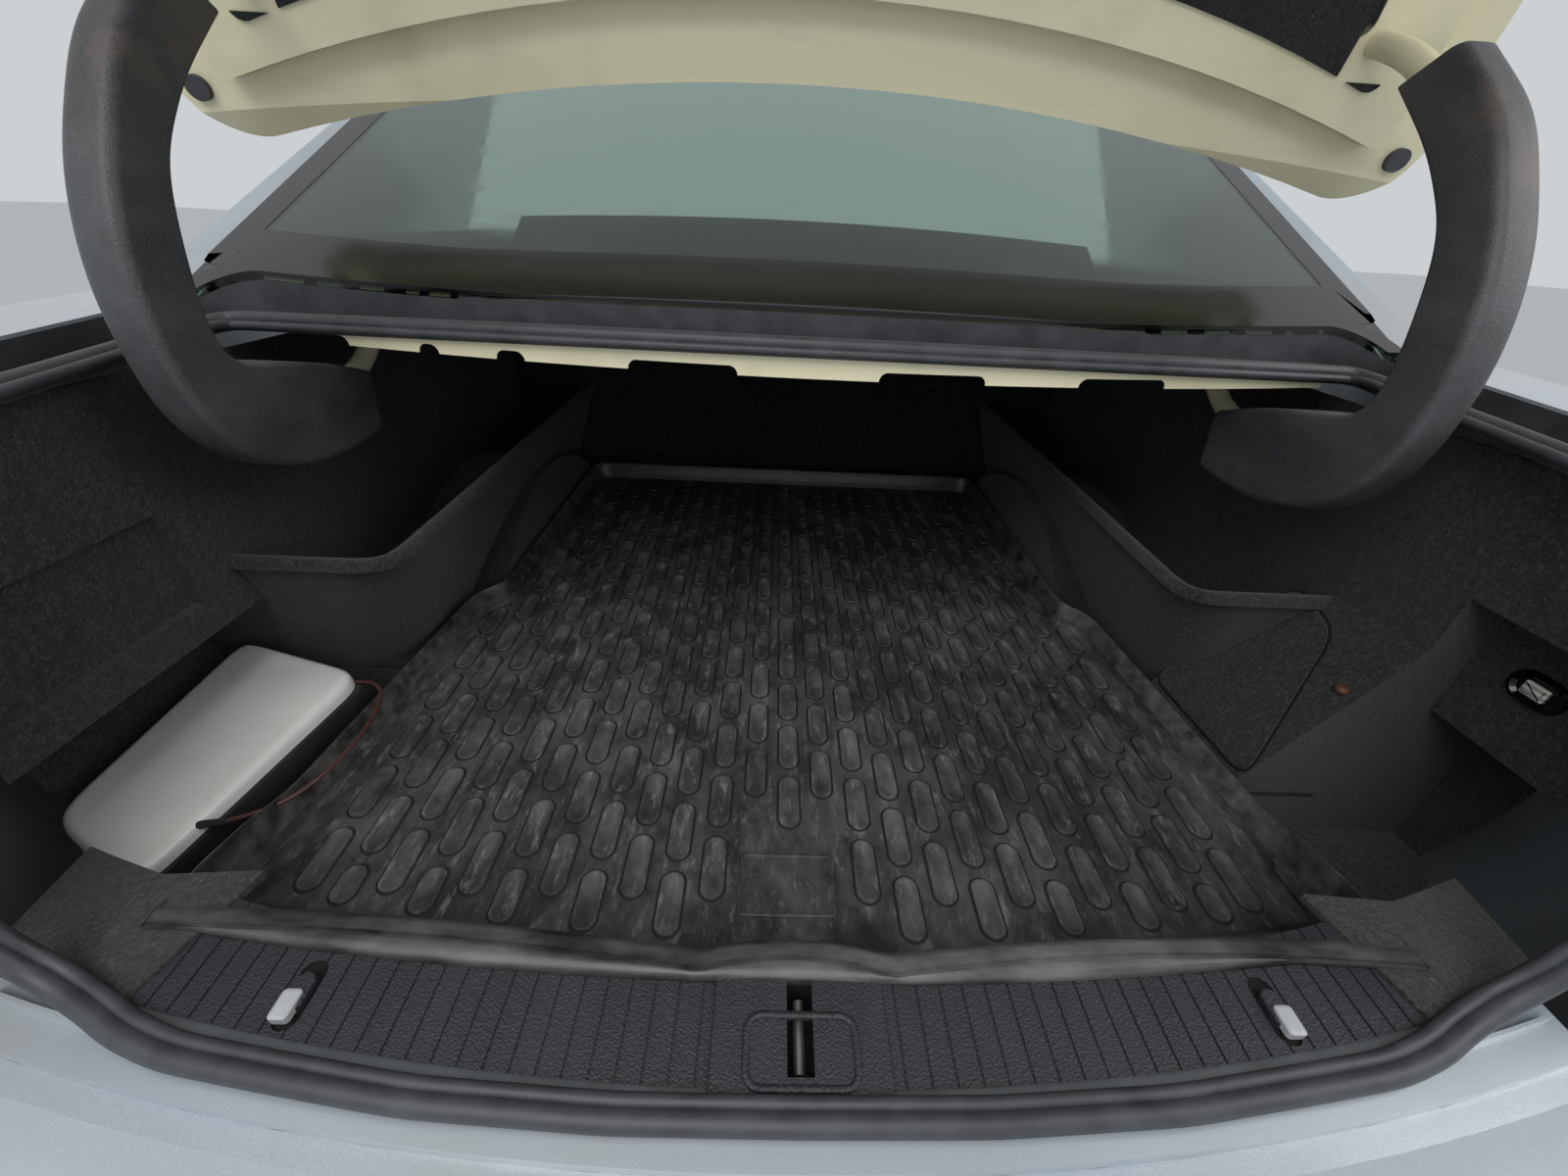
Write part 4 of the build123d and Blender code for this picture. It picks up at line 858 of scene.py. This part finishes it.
class BootMat(bpy.types.Operator):
    """Moulded rubber tray: floor, side lips, and a rear lip that rolls over the sill"""
    bl_idname = "boot.mat"
    bl_label = "Mat tray"

    def execute(self, context):
        size = context.scene.boot_sizes
        outline, outward = mat_floor_outline()
        x, y = outline.T
        rear = smoothstep((-1.165 - y) / 0.030)
        rise = size.side_lip + 0.058 * smoothstep((-1.09 - y) / 0.16)
        flare = 0.012 - 0.034 * smoothstep((-1.09 - y) / 0.16)
        top = outline + outward * flare[:, None]
        crest_x = x * CREST_HALF / MAT_HALF
        crest = np.stack([crest_x, mat_crest(crest_x)], -1)
        top = top * (1 - rear)[:, None] + crest * rear[:, None]
        rise = rise * (1 - rear) + size.rear_lip * rear
        out = top - outline
        rings = []
        # Share of the way out, share of the height: a fillet at the foot, then the lip's wall
        for share, height in (
            (-0.02, 0.0), (0.04, 0.012), (0.12, 0.06), (0.30, 0.30), (0.62, 0.66), (0.90, 0.94),
        ):
            rings.append(np.column_stack([outline + out * share, MAT_TOP + rise * height]))
        # Distance out past the crest and drop below it, for a side lip and for the rolled rear lip
        for side_out, side_drop, rear_out, rear_drop in (
            (0.000, 0.0000, 0.000, 0.0000),
            (0.001, 0.0002, 0.003, -0.0008),
            (0.002, 0.0010, 0.010, -0.0008),
            (0.0022, 0.0015, 0.0112, 0.0018),
            (0.0024, 0.0020, 0.0132, 0.0018),
            (0.0026, 0.0025, 0.0144, -0.0012),
        ):
            reach = side_out * (1 - rear) + rear_out * rear
            drop = side_drop * (1 - rear) + rear_drop * rear
            away = outward * (1 - rear)[:, None] + np.array([0, -1]) * rear[:, None]
            rings.append(np.column_stack([top + away * reach[:, None], MAT_TOP + rise - drop]))
        # Skirt: runs back from the roll to a curve over the sill, so it tapers to a point at each
        # end: share of its run, and the drop for a side lip and for the rear lip
        skirt = crest[:, 1] - bowed(crest_x, SKIRT_REAR, SKIRT_BOW, BOW_HALF)
        skirt = np.maximum(skirt, rear_out + 0.0002)
        for share, side_drop, rear_drop in (
            (0.35, 0.003, -0.0010), (0.75, 0.0035, 0.0012), (1.0, 0.0045, 0.0050),
        ):
            reach = 0.003 * (1 - rear) + (rear_out + (skirt - rear_out) * share) * rear
            drop = side_drop * (1 - rear) + rear_drop * rear
            rings.append(np.column_stack([top + away * reach[:, None], MAT_TOP + rise - drop]))
        rings = rings[::-1]
        points = np.vstack(rings)
        faces = ring_faces(len(rings), len(outline))
        del faces[-2]
        tray = add_piece(
            "mat_tray", (points, faces), "mat", ("boot_mat",), sharp=50, wall=0.0022,
        )
        tray.data.materials.append(finish["mat_lip"])
        height = np.array([polygon.center[2] for polygon in tray.data.polygons])
        tray.data.polygons.foreach_set("material_index", (height > MAT_TOP + 0.010).astype(int))
        return {"FINISHED"}


def capsules(centre, half_wide, half_long, rings):
    """Capsules of their own half lengths: rings drawn in as they rise, closed at the top alone."""
    around = 16
    angle = (np.arange(around) + 0.5) * 2 * math.pi / around
    turn = np.stack([np.cos(angle), np.sin(angle)], -1)
    cap = np.repeat(half_wide * turn[None], len(centre), 0)
    cap[..., 1] += np.sign(turn[:, 1])[None] * (half_long - half_wide)[:, None]
    inset, lift = np.asarray(rings, float).T
    reach = cap[:, None] - inset[None, :, None, None] * turn[None, None]
    points = np.zeros((len(centre), len(rings), around, 3))
    points[..., :2] = centre[:, None, None] + reach
    points[..., 2] = MAT_TOP + lift[None, :, None]
    one = ring_faces(len(rings), around)
    del one[-2]
    step = len(rings) * around
    faces = [[index + step * place for index in face] for place in range(len(centre)) for face in one]
    return points.reshape(-1, 3), faces


class BootMatBlocks(bpy.types.Operator):
    """Raised blocks of the mat, each in a ring of painted shade for its groove, and the blank pad near
    the sill
    """
    bl_idname = "boot.mat_blocks"
    bl_label = "Mat blocks"

    def execute(self, context):
        size = context.scene.boot_sizes
        column, row = np.meshgrid(np.arange(-12, 13), np.arange(-1, 14), indexing="ij")
        centre_x = column * size.block_pitch
        centre_y = -1.200 + size.block_long / 2 + (row + 0.5 * (column % 2)) * size.row_pitch
        # Blocks are cut short 8 mm from the rear edge and 15 mm from the front one
        rear_end = np.maximum(
            centre_y - size.block_long / 2, bowed(centre_x, MAT_REAR + 0.008, MAT_BOW, BOW_HALF)
        )
        front_end = np.minimum(centre_y + size.block_long / 2, MAT_FRONT - 0.015)
        half_long = (front_end - rear_end) / 2
        # None stands beside the wheel boxes, on the pad near the sill, or shorter than 32 mm
        inside = (np.abs(centre_x) < 0.425) | (centre_y < -0.76)
        inside &= half_long > 0.016
        inside &= ~((np.abs(centre_x) < 0.066) & (centre_y < -1.115))
        centre = np.stack([centre_x, (front_end + rear_end) / 2], -1)[inside]
        half_long = half_long[inside]
        high = size.block_high
        block = ((0.0, -0.0003), (0.0006, 0.9 * high), (0.0022, high), (0.0032, 0.72 * high))
        blocks = capsules(centre, size.block_wide / 2, half_long, block)
        add_piece("mat_blocks", blocks, "mat_block", sharp=60)
        margin = 0.0022
        # Groove: a flat black ring round each block, painted shade
        groove = ((0.0, -0.0004), (0.0, 0.0002), (0.0016, 0.0002))
        grooves = capsules(centre, size.block_wide / 2 + margin, half_long + margin, groove)
        add_piece("mat_groove_shade", grooves, "groove")
        pad = raised(
            round_box(0.0475, 0.033, 0.006),
            ((0.0, -0.0004), (0.0006, 0.0012), (0.0014, 0.0016), (0.0034, 0.0016), (0.0042, 0.0009)),
            level_at(-0.003, PAD_Y, MAT_TOP),
        )
        add_piece("mat_pad", pad, "mat")
        return {"FINISHED"}


def cover_section(count):
    """Cover's cross section: a rectangle with its own radius at each corner, as quarter circles."""
    # Which side and edge each corner is on, and its radius
    corners = np.array([(1, 1, 0.026), (-1, 1, 0.009), (-1, -1, 0.006), (1, -1, 0.006)])
    sign = np.repeat(corners[:, :2], count, 0)
    radius = np.repeat(corners[:, 2:], count, 0)
    start = np.repeat(np.arange(4) * math.pi / 2, count)
    turn = start + np.tile(np.linspace(0, math.pi / 2, count), 4)
    return sign, radius, np.stack([np.cos(turn), np.sin(turn)], -1)


def hinge_cover():
    """Hinge cover: its section carried down a bowed line given by its outer and inner edges."""
    # Y and Z of the outer edge, then of the inner edge, from the lid down into the pocket
    pairs = np.array([
        (-0.880, 0.715, -0.835, 0.690),
        (-0.945, 0.665, -0.897, 0.640),
        (-1.000, 0.582, -0.950, 0.580),
        (-1.024, 0.520, -0.969, 0.510),
        (-1.031, 0.462, -0.976, 0.462),
        (-1.024, 0.408, -0.968, 0.436),
        (-1.000, 0.362, -0.945, 0.430),
        (-0.960, 0.334, -0.915, 0.426),
        (-0.905, 0.319, -0.875, 0.418),
        (-0.850, 0.317, -0.830, 0.406),
        (-0.802, 0.321, -0.790, 0.392),
    ])
    run = rounded_path(pairs, 110, 0.17)
    outer, inner = run[:, :2], run[:, 2:]
    middle = (outer + inner) / 2
    deep = np.linalg.norm(outer - inner, axis=1)
    along = (outer - inner) / deep[:, None]
    low = smoothstep((0.46 - outer[:, 1]) / 0.12)
    half_x = (COVER_OUTER + 0.011 * low - COVER_INNER) / 2
    sign, radius, turn = cover_section(7)
    radius = np.minimum(radius[None], 0.48 * np.minimum(deep, 2 * half_x)[:, None, None])
    half = np.stack([half_x, deep / 2], -1)[:, None]
    flat = sign[None] * (half - radius) + radius * turn[None]
    points = np.zeros((len(run), len(sign), 3))
    points[..., 0] = (COVER_INNER + half_x)[:, None] + flat[..., 0]
    points[..., 1:] = middle[:, None] + along[:, None] * flat[..., 1:]
    return points.reshape(-1, 3), ring_faces(len(run), len(sign))


class BootHinges(bpy.types.Operator):
    """Gooseneck hinge arms and their moulded covers, both on the lid"""
    bl_idname = "boot.hinges"
    bl_label = "Hinges"

    def execute(self, context):
        # Y and Z of the tube's middle line, from the pivot to the lid
        arm = np.array([
            (-0.650, 0.482), (-0.752, 0.392), (-0.845, 0.366), (-0.940, 0.366), (-0.996, 0.420),
            (-0.999, 0.500), (-0.960, 0.592), (-0.888, 0.668), (-0.800, 0.722), (-0.733, 0.745),
        ])
        tube = ARM_RADIUS * ring(20)
        line = rounded_path(np.column_stack([np.full(len(arm), ARM_X), arm]), 110, 0.09)
        for side, mirror in (("right", 1), ("left", -1)):
            flip = np.array([mirror, 1, 1])
            points, faces = hinge_cover()
            add_piece(
                "cover_" + side, (points * flip, faces), "cover",
                ("hinge_cover_" + side,), "lid", sharp=50,
            )
            points, faces = carried(line, tube, (1, 0, 0))
            add_piece(
                "arm_" + side, (points * flip, faces), "ivory",
                ("hinge_arm_" + side,), "lid",
            )
        return {"FINISHED"}


def on_bay_cover(u, v, h):
    """Cover of the right-hand bay: u along the car and v up, leaning out 29.2 degrees."""
    return (
        BAY_COVER_FOOT + (v - BOARD_TOP) * math.tan(BAY_COVER_LEAN) - h * math.cos(BAY_COVER_LEAN),
        u,
        v + h * math.sin(BAY_COVER_LEAN),
    )


def on_side_wall(u, v, h):
    """Upright wall of the right well round its lamp, facing the middle of the car."""
    return SIDE_WALL_X - h, LAMP_MIDDLE[0] + u, LAMP_MIDDLE[1] + v


class BootLiners(bpy.types.Operator):
    """Felt details: rolled rims of the hinge pockets, flap of the right bay, clips and lamp"""
    bl_idname = "boot.liners"
    bl_label = "Liners"

    def execute(self, context):
        size = context.scene.boot_sizes
        # The rim's line runs 3.5 mm onto the ledge from its inner and rear edges
        side, rear = LEDGE_TOP_HALF + 0.0035, LEDGE_TOP_REAR + 0.0035
        rim = rounded_path([(side, -0.075), (side, rear), (0.668, rear)], 120, 0.11)
        rim = np.column_stack([rim, np.full(len(rim), LEDGE_TOP)])
        rims = both_sides(carried(rim, bead(size.rim_round, 0.011)))
        add_piece("pocket_rims", rims, "felt")
        flap = round_polygon([(-1.054, 0.036), (-0.867, 0.030), (-0.896, 0.208), (-0.973, 0.192)], 0.030)
        pad = ((0.0, -0.002), (0.0, 0.0022), (0.0014, 0.0034), (0.004, 0.0040), (0.008, 0.0042))
        add_piece("well_flap", raised(flap, pad, on_bay_cover), "felt")
        # Black ring round the flap: painted shade in its gap
        gap = ((-0.0032, -0.002), (-0.0032, 0.0006), (0.002, 0.0006))
        add_piece("well_flap_gap", raised(flap, gap, on_bay_cover), "hollow")
        button = ((0.0, -0.002), (0.0, 0.002), (0.0016, 0.0036), (0.004, 0.0042))
        clips = [raised(round_box(0.007, 0.007, 0.0069), button, level_at(*at)) for at in CLIP_PLACES]
        add_piece("clips", gathered(*clips), "bronze")
        bezel = raised(
            round_box(0.024, 0.017, 0.0168),
            ((0.0, -0.002), (0.0, 0.002), (0.002, 0.0045), (0.005, 0.005), (0.008, 0.002)),
            on_side_wall,
        )
        add_piece("boot_lamp_bezel", bezel, "trim")
        lens = raised(
            round_box(0.010, 0.007, 0.002),
            ((0.0, 0.000), (0.0, 0.0042), (0.001, 0.0052), (0.003, 0.0056)),
            on_side_wall,
        )
        add_piece("boot_lamp_lens", lens, "lamp_clear", ("boot_lamp",))
        return {"FINISHED"}


class BootSeal(bpy.types.Operator):
    """Hollow bead of the boot seal with its lip, all round the opening"""
    bl_idname = "boot.seal"
    bl_label = "Seal"

    def execute(self, context):
        # Right half of the loop: front edge and side on the deck, drop to the sill, then the sill
        across = np.linspace(0, 0.625, 12)
        front_y = bowed(across, SEAL_FRONT, OPENING_BOW, SEAL_HALF)
        side_y = np.linspace(-0.835, -1.215, 10)
        side_x = SEAL_HALF - 0.080 * (-0.815 - side_y) / 0.785
        plan_x = np.concatenate([across, side_x])
        plan_y = np.concatenate([front_y, side_y])
        deck = np.column_stack([plan_x, plan_y, deck_z(plan_x, plan_y, 0.0215)])
        drop_x = np.array([0.588, 0.580, 0.568, 0.550, 0.528, 0.508])
        drop_z = np.array([0.430, 0.350, 0.260, 0.180, 0.128, 0.108])
        drop = np.column_stack([drop_x, rear_y(drop_x, drop_z, 0.027), drop_z])
        sill_x = np.array([0.470, 0.442, 0.401, 0.336, 0.243, 0.120, 0.0])
        sill_y = np.array([-1.336, -1.3485, -1.3605, -1.3695, -1.3815, -1.3885, -1.3895])
        sill = np.column_stack([sill_x, sill_y, np.full(len(sill_x), 0.1025)])
        half = np.vstack([deck, drop, sill])
        loop = np.vstack([half, (half * np.array([-1, 1, 1]))[-2:0:-1]])
        path = rounded_path(loop, 520, 0.05, closed=True)
        radius = context.scene.boot_sizes.seal_wide / 2
        hollow = carried(path, radius * ring(12), (0, -0.5, 1), closed=True)
        lip_line = 0.0045 * ring(12) - np.array([radius + 0.002, 0.002])
        lip = carried(path, lip_line, (0, -0.5, 1), closed=True)
        add_piece("seal_bead", gathered(hollow, lip), "seal", ("opening_seal",))
        front = np.column_stack([across, front_y, deck_z(across, front_y, 0.022)])
        front = np.vstack([front[::-1] * np.array([-1, 1, 1]), front[1:]])
        apron = [(0.038, -0.003), (0.038, 0.001), (0.004, 0.004), (0.004, -0.001)]
        add_piece("seal_apron", carried(rounded_path(front, 120, 0.03), apron), "seal")
        across = np.linspace(-0.462, 0.462, 60)
        edge_y = rear_y(across, SILL_TOP, 0.029) - 0.004
        edge = np.column_stack([across, edge_y, np.full(60, SILL_TOP - 0.002)])
        add_piece("sill_edge", carried(edge, bead(0.013, 0.0035)), "edge")
        return {"FINISHED"}


class BootGlass(bpy.types.Operator):
    """Black printed border of the rear window and the strip of the high brake lamp"""
    bl_idname = "boot.glass"
    bl_label = "Window border"

    def execute(self, context):
        size = context.scene.boot_sizes
        across = np.linspace(-0.686, 0.686, 15)
        lid_edge = bowed(across, LID_FRONT, OPENING_BOW, LID_HALF)
        foot_y = np.maximum(bowed(across, WINDOW_FOOT, WINDOW_BOW, WINDOW_HALF), lid_edge)
        corners = np.vstack([np.stack([across, foot_y], -1), [(0.578, -0.200), (-0.578, -0.200)]])
        outline, outward = round_polygon(corners, 0.02, 260)
        # 40 mm wide at the top and sides, and as wide as the panel says along the foot
        wide = 0.040 + (size.glass_border - 0.040) * smoothstep((-0.74 - outline[:, 1]) / 0.03)
        inner = outline - outward * wide[:, None]
        rings = np.stack([
            np.column_stack([plan, glass_z(plan[:, 0], plan[:, 1], inset)])
            for plan, inset in ((outline, 0.0002), (outline, -0.0004), (inner, -0.0004), (inner, 0.0002))
        ], 1)
        border = rings.reshape(-1, 3), ring_faces(len(outline), 4, closed=True)
        add_piece("window_border", border, "trim")
        strip = raised(
            round_box(0.29, 0.011, 0.005),
            ((0.0, -0.002), (0.0, 0.0015), (0.001, 0.0025), (0.004, 0.0028)),
            lambda u, v, h: (u, v + BRAKE_LAMP_Y, glass_z(u, v + BRAKE_LAMP_Y, 0.0112 - h)),
        )
        add_piece("brake_strip", strip, "lamp_dark_red")
        return {"FINISHED"}


class BootSill(bpy.types.Operator):
    """Frame round the striker's slot, tabs of the sill's hooks with painted shade in their slots, felt of
    its corners
    """
    bl_idname = "boot.sill"
    bl_label = "Sill"

    def execute(self, context):
        slot = round_box(0.037, 0.0205, 0.010)[0] + np.array(STRIKER_MIDDLE)
        slot = np.column_stack([slot, np.full(len(slot), 0.1015)])
        rim = carried(slot, bead(0.005, 0.0018), closed=True)
        add_piece("striker_frame", rim, "scuff")
        tabs = raised(
            round_box(0.0065, 0.0095, 0.003),
            ((0.0, -0.004), (0.0, 0.0020), (0.0010, 0.0030), (0.0025, 0.0033)),
            level_at(*TAB_MIDDLE, SILL_TOP + 0.0055),
        )
        add_piece("hook_tabs", both_sides(tabs), "pale_plastic")
        # Black pads in the hooks' slots: painted shade
        wells = raised(
            round_box(0.0088, 0.0218, 0.0087),
            ((0.0, -0.0010), (0.0, 0.0010), (0.001, 0.0012)),
            level_at(*HOOK_WELL_MIDDLE, SILL_TOP - 0.0033),
        )
        add_piece("hook_wells", both_sides(wells), "hollow")
        caps = raised(
            round_polygon([(0.458, -1.336), (0.500, -1.320), (0.520, -1.240), (0.430, -1.234)], 0.006),
            ((0.0, -0.003), (0.0, 0.0018), (0.0008, 0.0025), (0.003, 0.0027)),
            level_at(0, 0, SILL_TOP),
        )
        add_piece("corner_felt", both_sides(caps), "felt")
        return {"FINISHED"}


def on_sign(u, v, h):
    """Sign: its sides stand upright, and its top rises forwards by 85 mm a metre."""
    top = SIGN_TOP + (v - SIGN_MIDDLE_Y) * SIGN_RISE
    return u, v, SIGN_BOTTOM + h * (top - SIGN_BOTTOM)


class BootSign(bpy.types.Operator):
    """Blank white roof sign stowed in the left well, with its dark base"""
    bl_idname = "boot.sign"
    bl_label = "Stowed sign"

    def execute(self, context):
        rear, front = SIGN_BASE_REAR, SIGN_BASE_FRONT
        ahead = (front - rear) / np.linalg.norm(front - rear)
        outer = np.array([ahead[1], -ahead[0]])
        shell = [SIGN_REAR_CORNER, rear - 0.006 * outer, front - 0.006 * outer, SIGN_FRONT_CORNER]
        body = raised(
            round_polygon(shell, 0.045, 120),
            ((0.004, 0.0), (0.0, 0.05), (0.0, 0.90), (0.0015, 0.955), (0.005, 0.988), (0.010, 1.0)),
            on_sign,
        )
        add_piece("sign_body", body, "sign_white", ("sign_shell",))
        foot = raised(
            round_polygon([rear - 0.02 * outer, rear, front, front - 0.02 * outer], 0.003, 96),
            ((0.001, -0.01), (0.0, 0.02), (0.0, 0.80), (0.0012, 0.84)),
            on_sign,
        )
        add_piece("sign_foot", foot, "sign_base", ("sign_base",))
        gland = rounded_path([(-0.582, -1.150, 0.036), (-0.5505, -1.150, 0.044)], 8)
        shrink = np.linspace(0.0042, 0.0028, len(gland))[:, None, None]
        add_piece("lead_gland", carried(gland, shrink * ring(12)), "sign_base")
        return {"FINISHED"}


OPERATORS = (
    BootCamera, BootFinishes, BootLead, BootStage, BootMat, BootMatBlocks, BootHinges, BootLiners,
    BootSeal, BootGlass, BootSill, BootSign,
)


class BootPanel(bpy.types.Panel):
    """Sizes, colours and the pieces in the order they are made"""
    bl_idname = "VIEW3D_PT_boot"
    bl_label = "Open boot"
    bl_space_type = "VIEW_3D"
    bl_region_type = "UI"
    bl_category = "Boot"

    def draw(self, context):
        for group in (context.scene.boot_sizes, context.scene.boot_colours):
            for name in group.__annotations__:
                self.layout.prop(group, name)
        for kind in OPERATORS:
            self.layout.operator(kind.bl_idname)


CLASSES = (BootSizes, BootColours, *OPERATORS, BootPanel)


def register():
    for kind in CLASSES:
        bpy.utils.register_class(kind)
    bpy.types.Scene.boot_sizes = bpy.props.PointerProperty(type=BootSizes)
    bpy.types.Scene.boot_colours = bpy.props.PointerProperty(type=BootColours)


def unregister():
    del bpy.types.Scene.boot_colours
    del bpy.types.Scene.boot_sizes
    for kind in reversed(CLASSES):
        bpy.utils.unregister_class(kind)


def main():
    register()
    for kind in OPERATORS:
        name = kind.bl_idname.split(".")[1]
        getattr(bpy.ops.boot, name)()


if __name__ == "__main__":
    main()
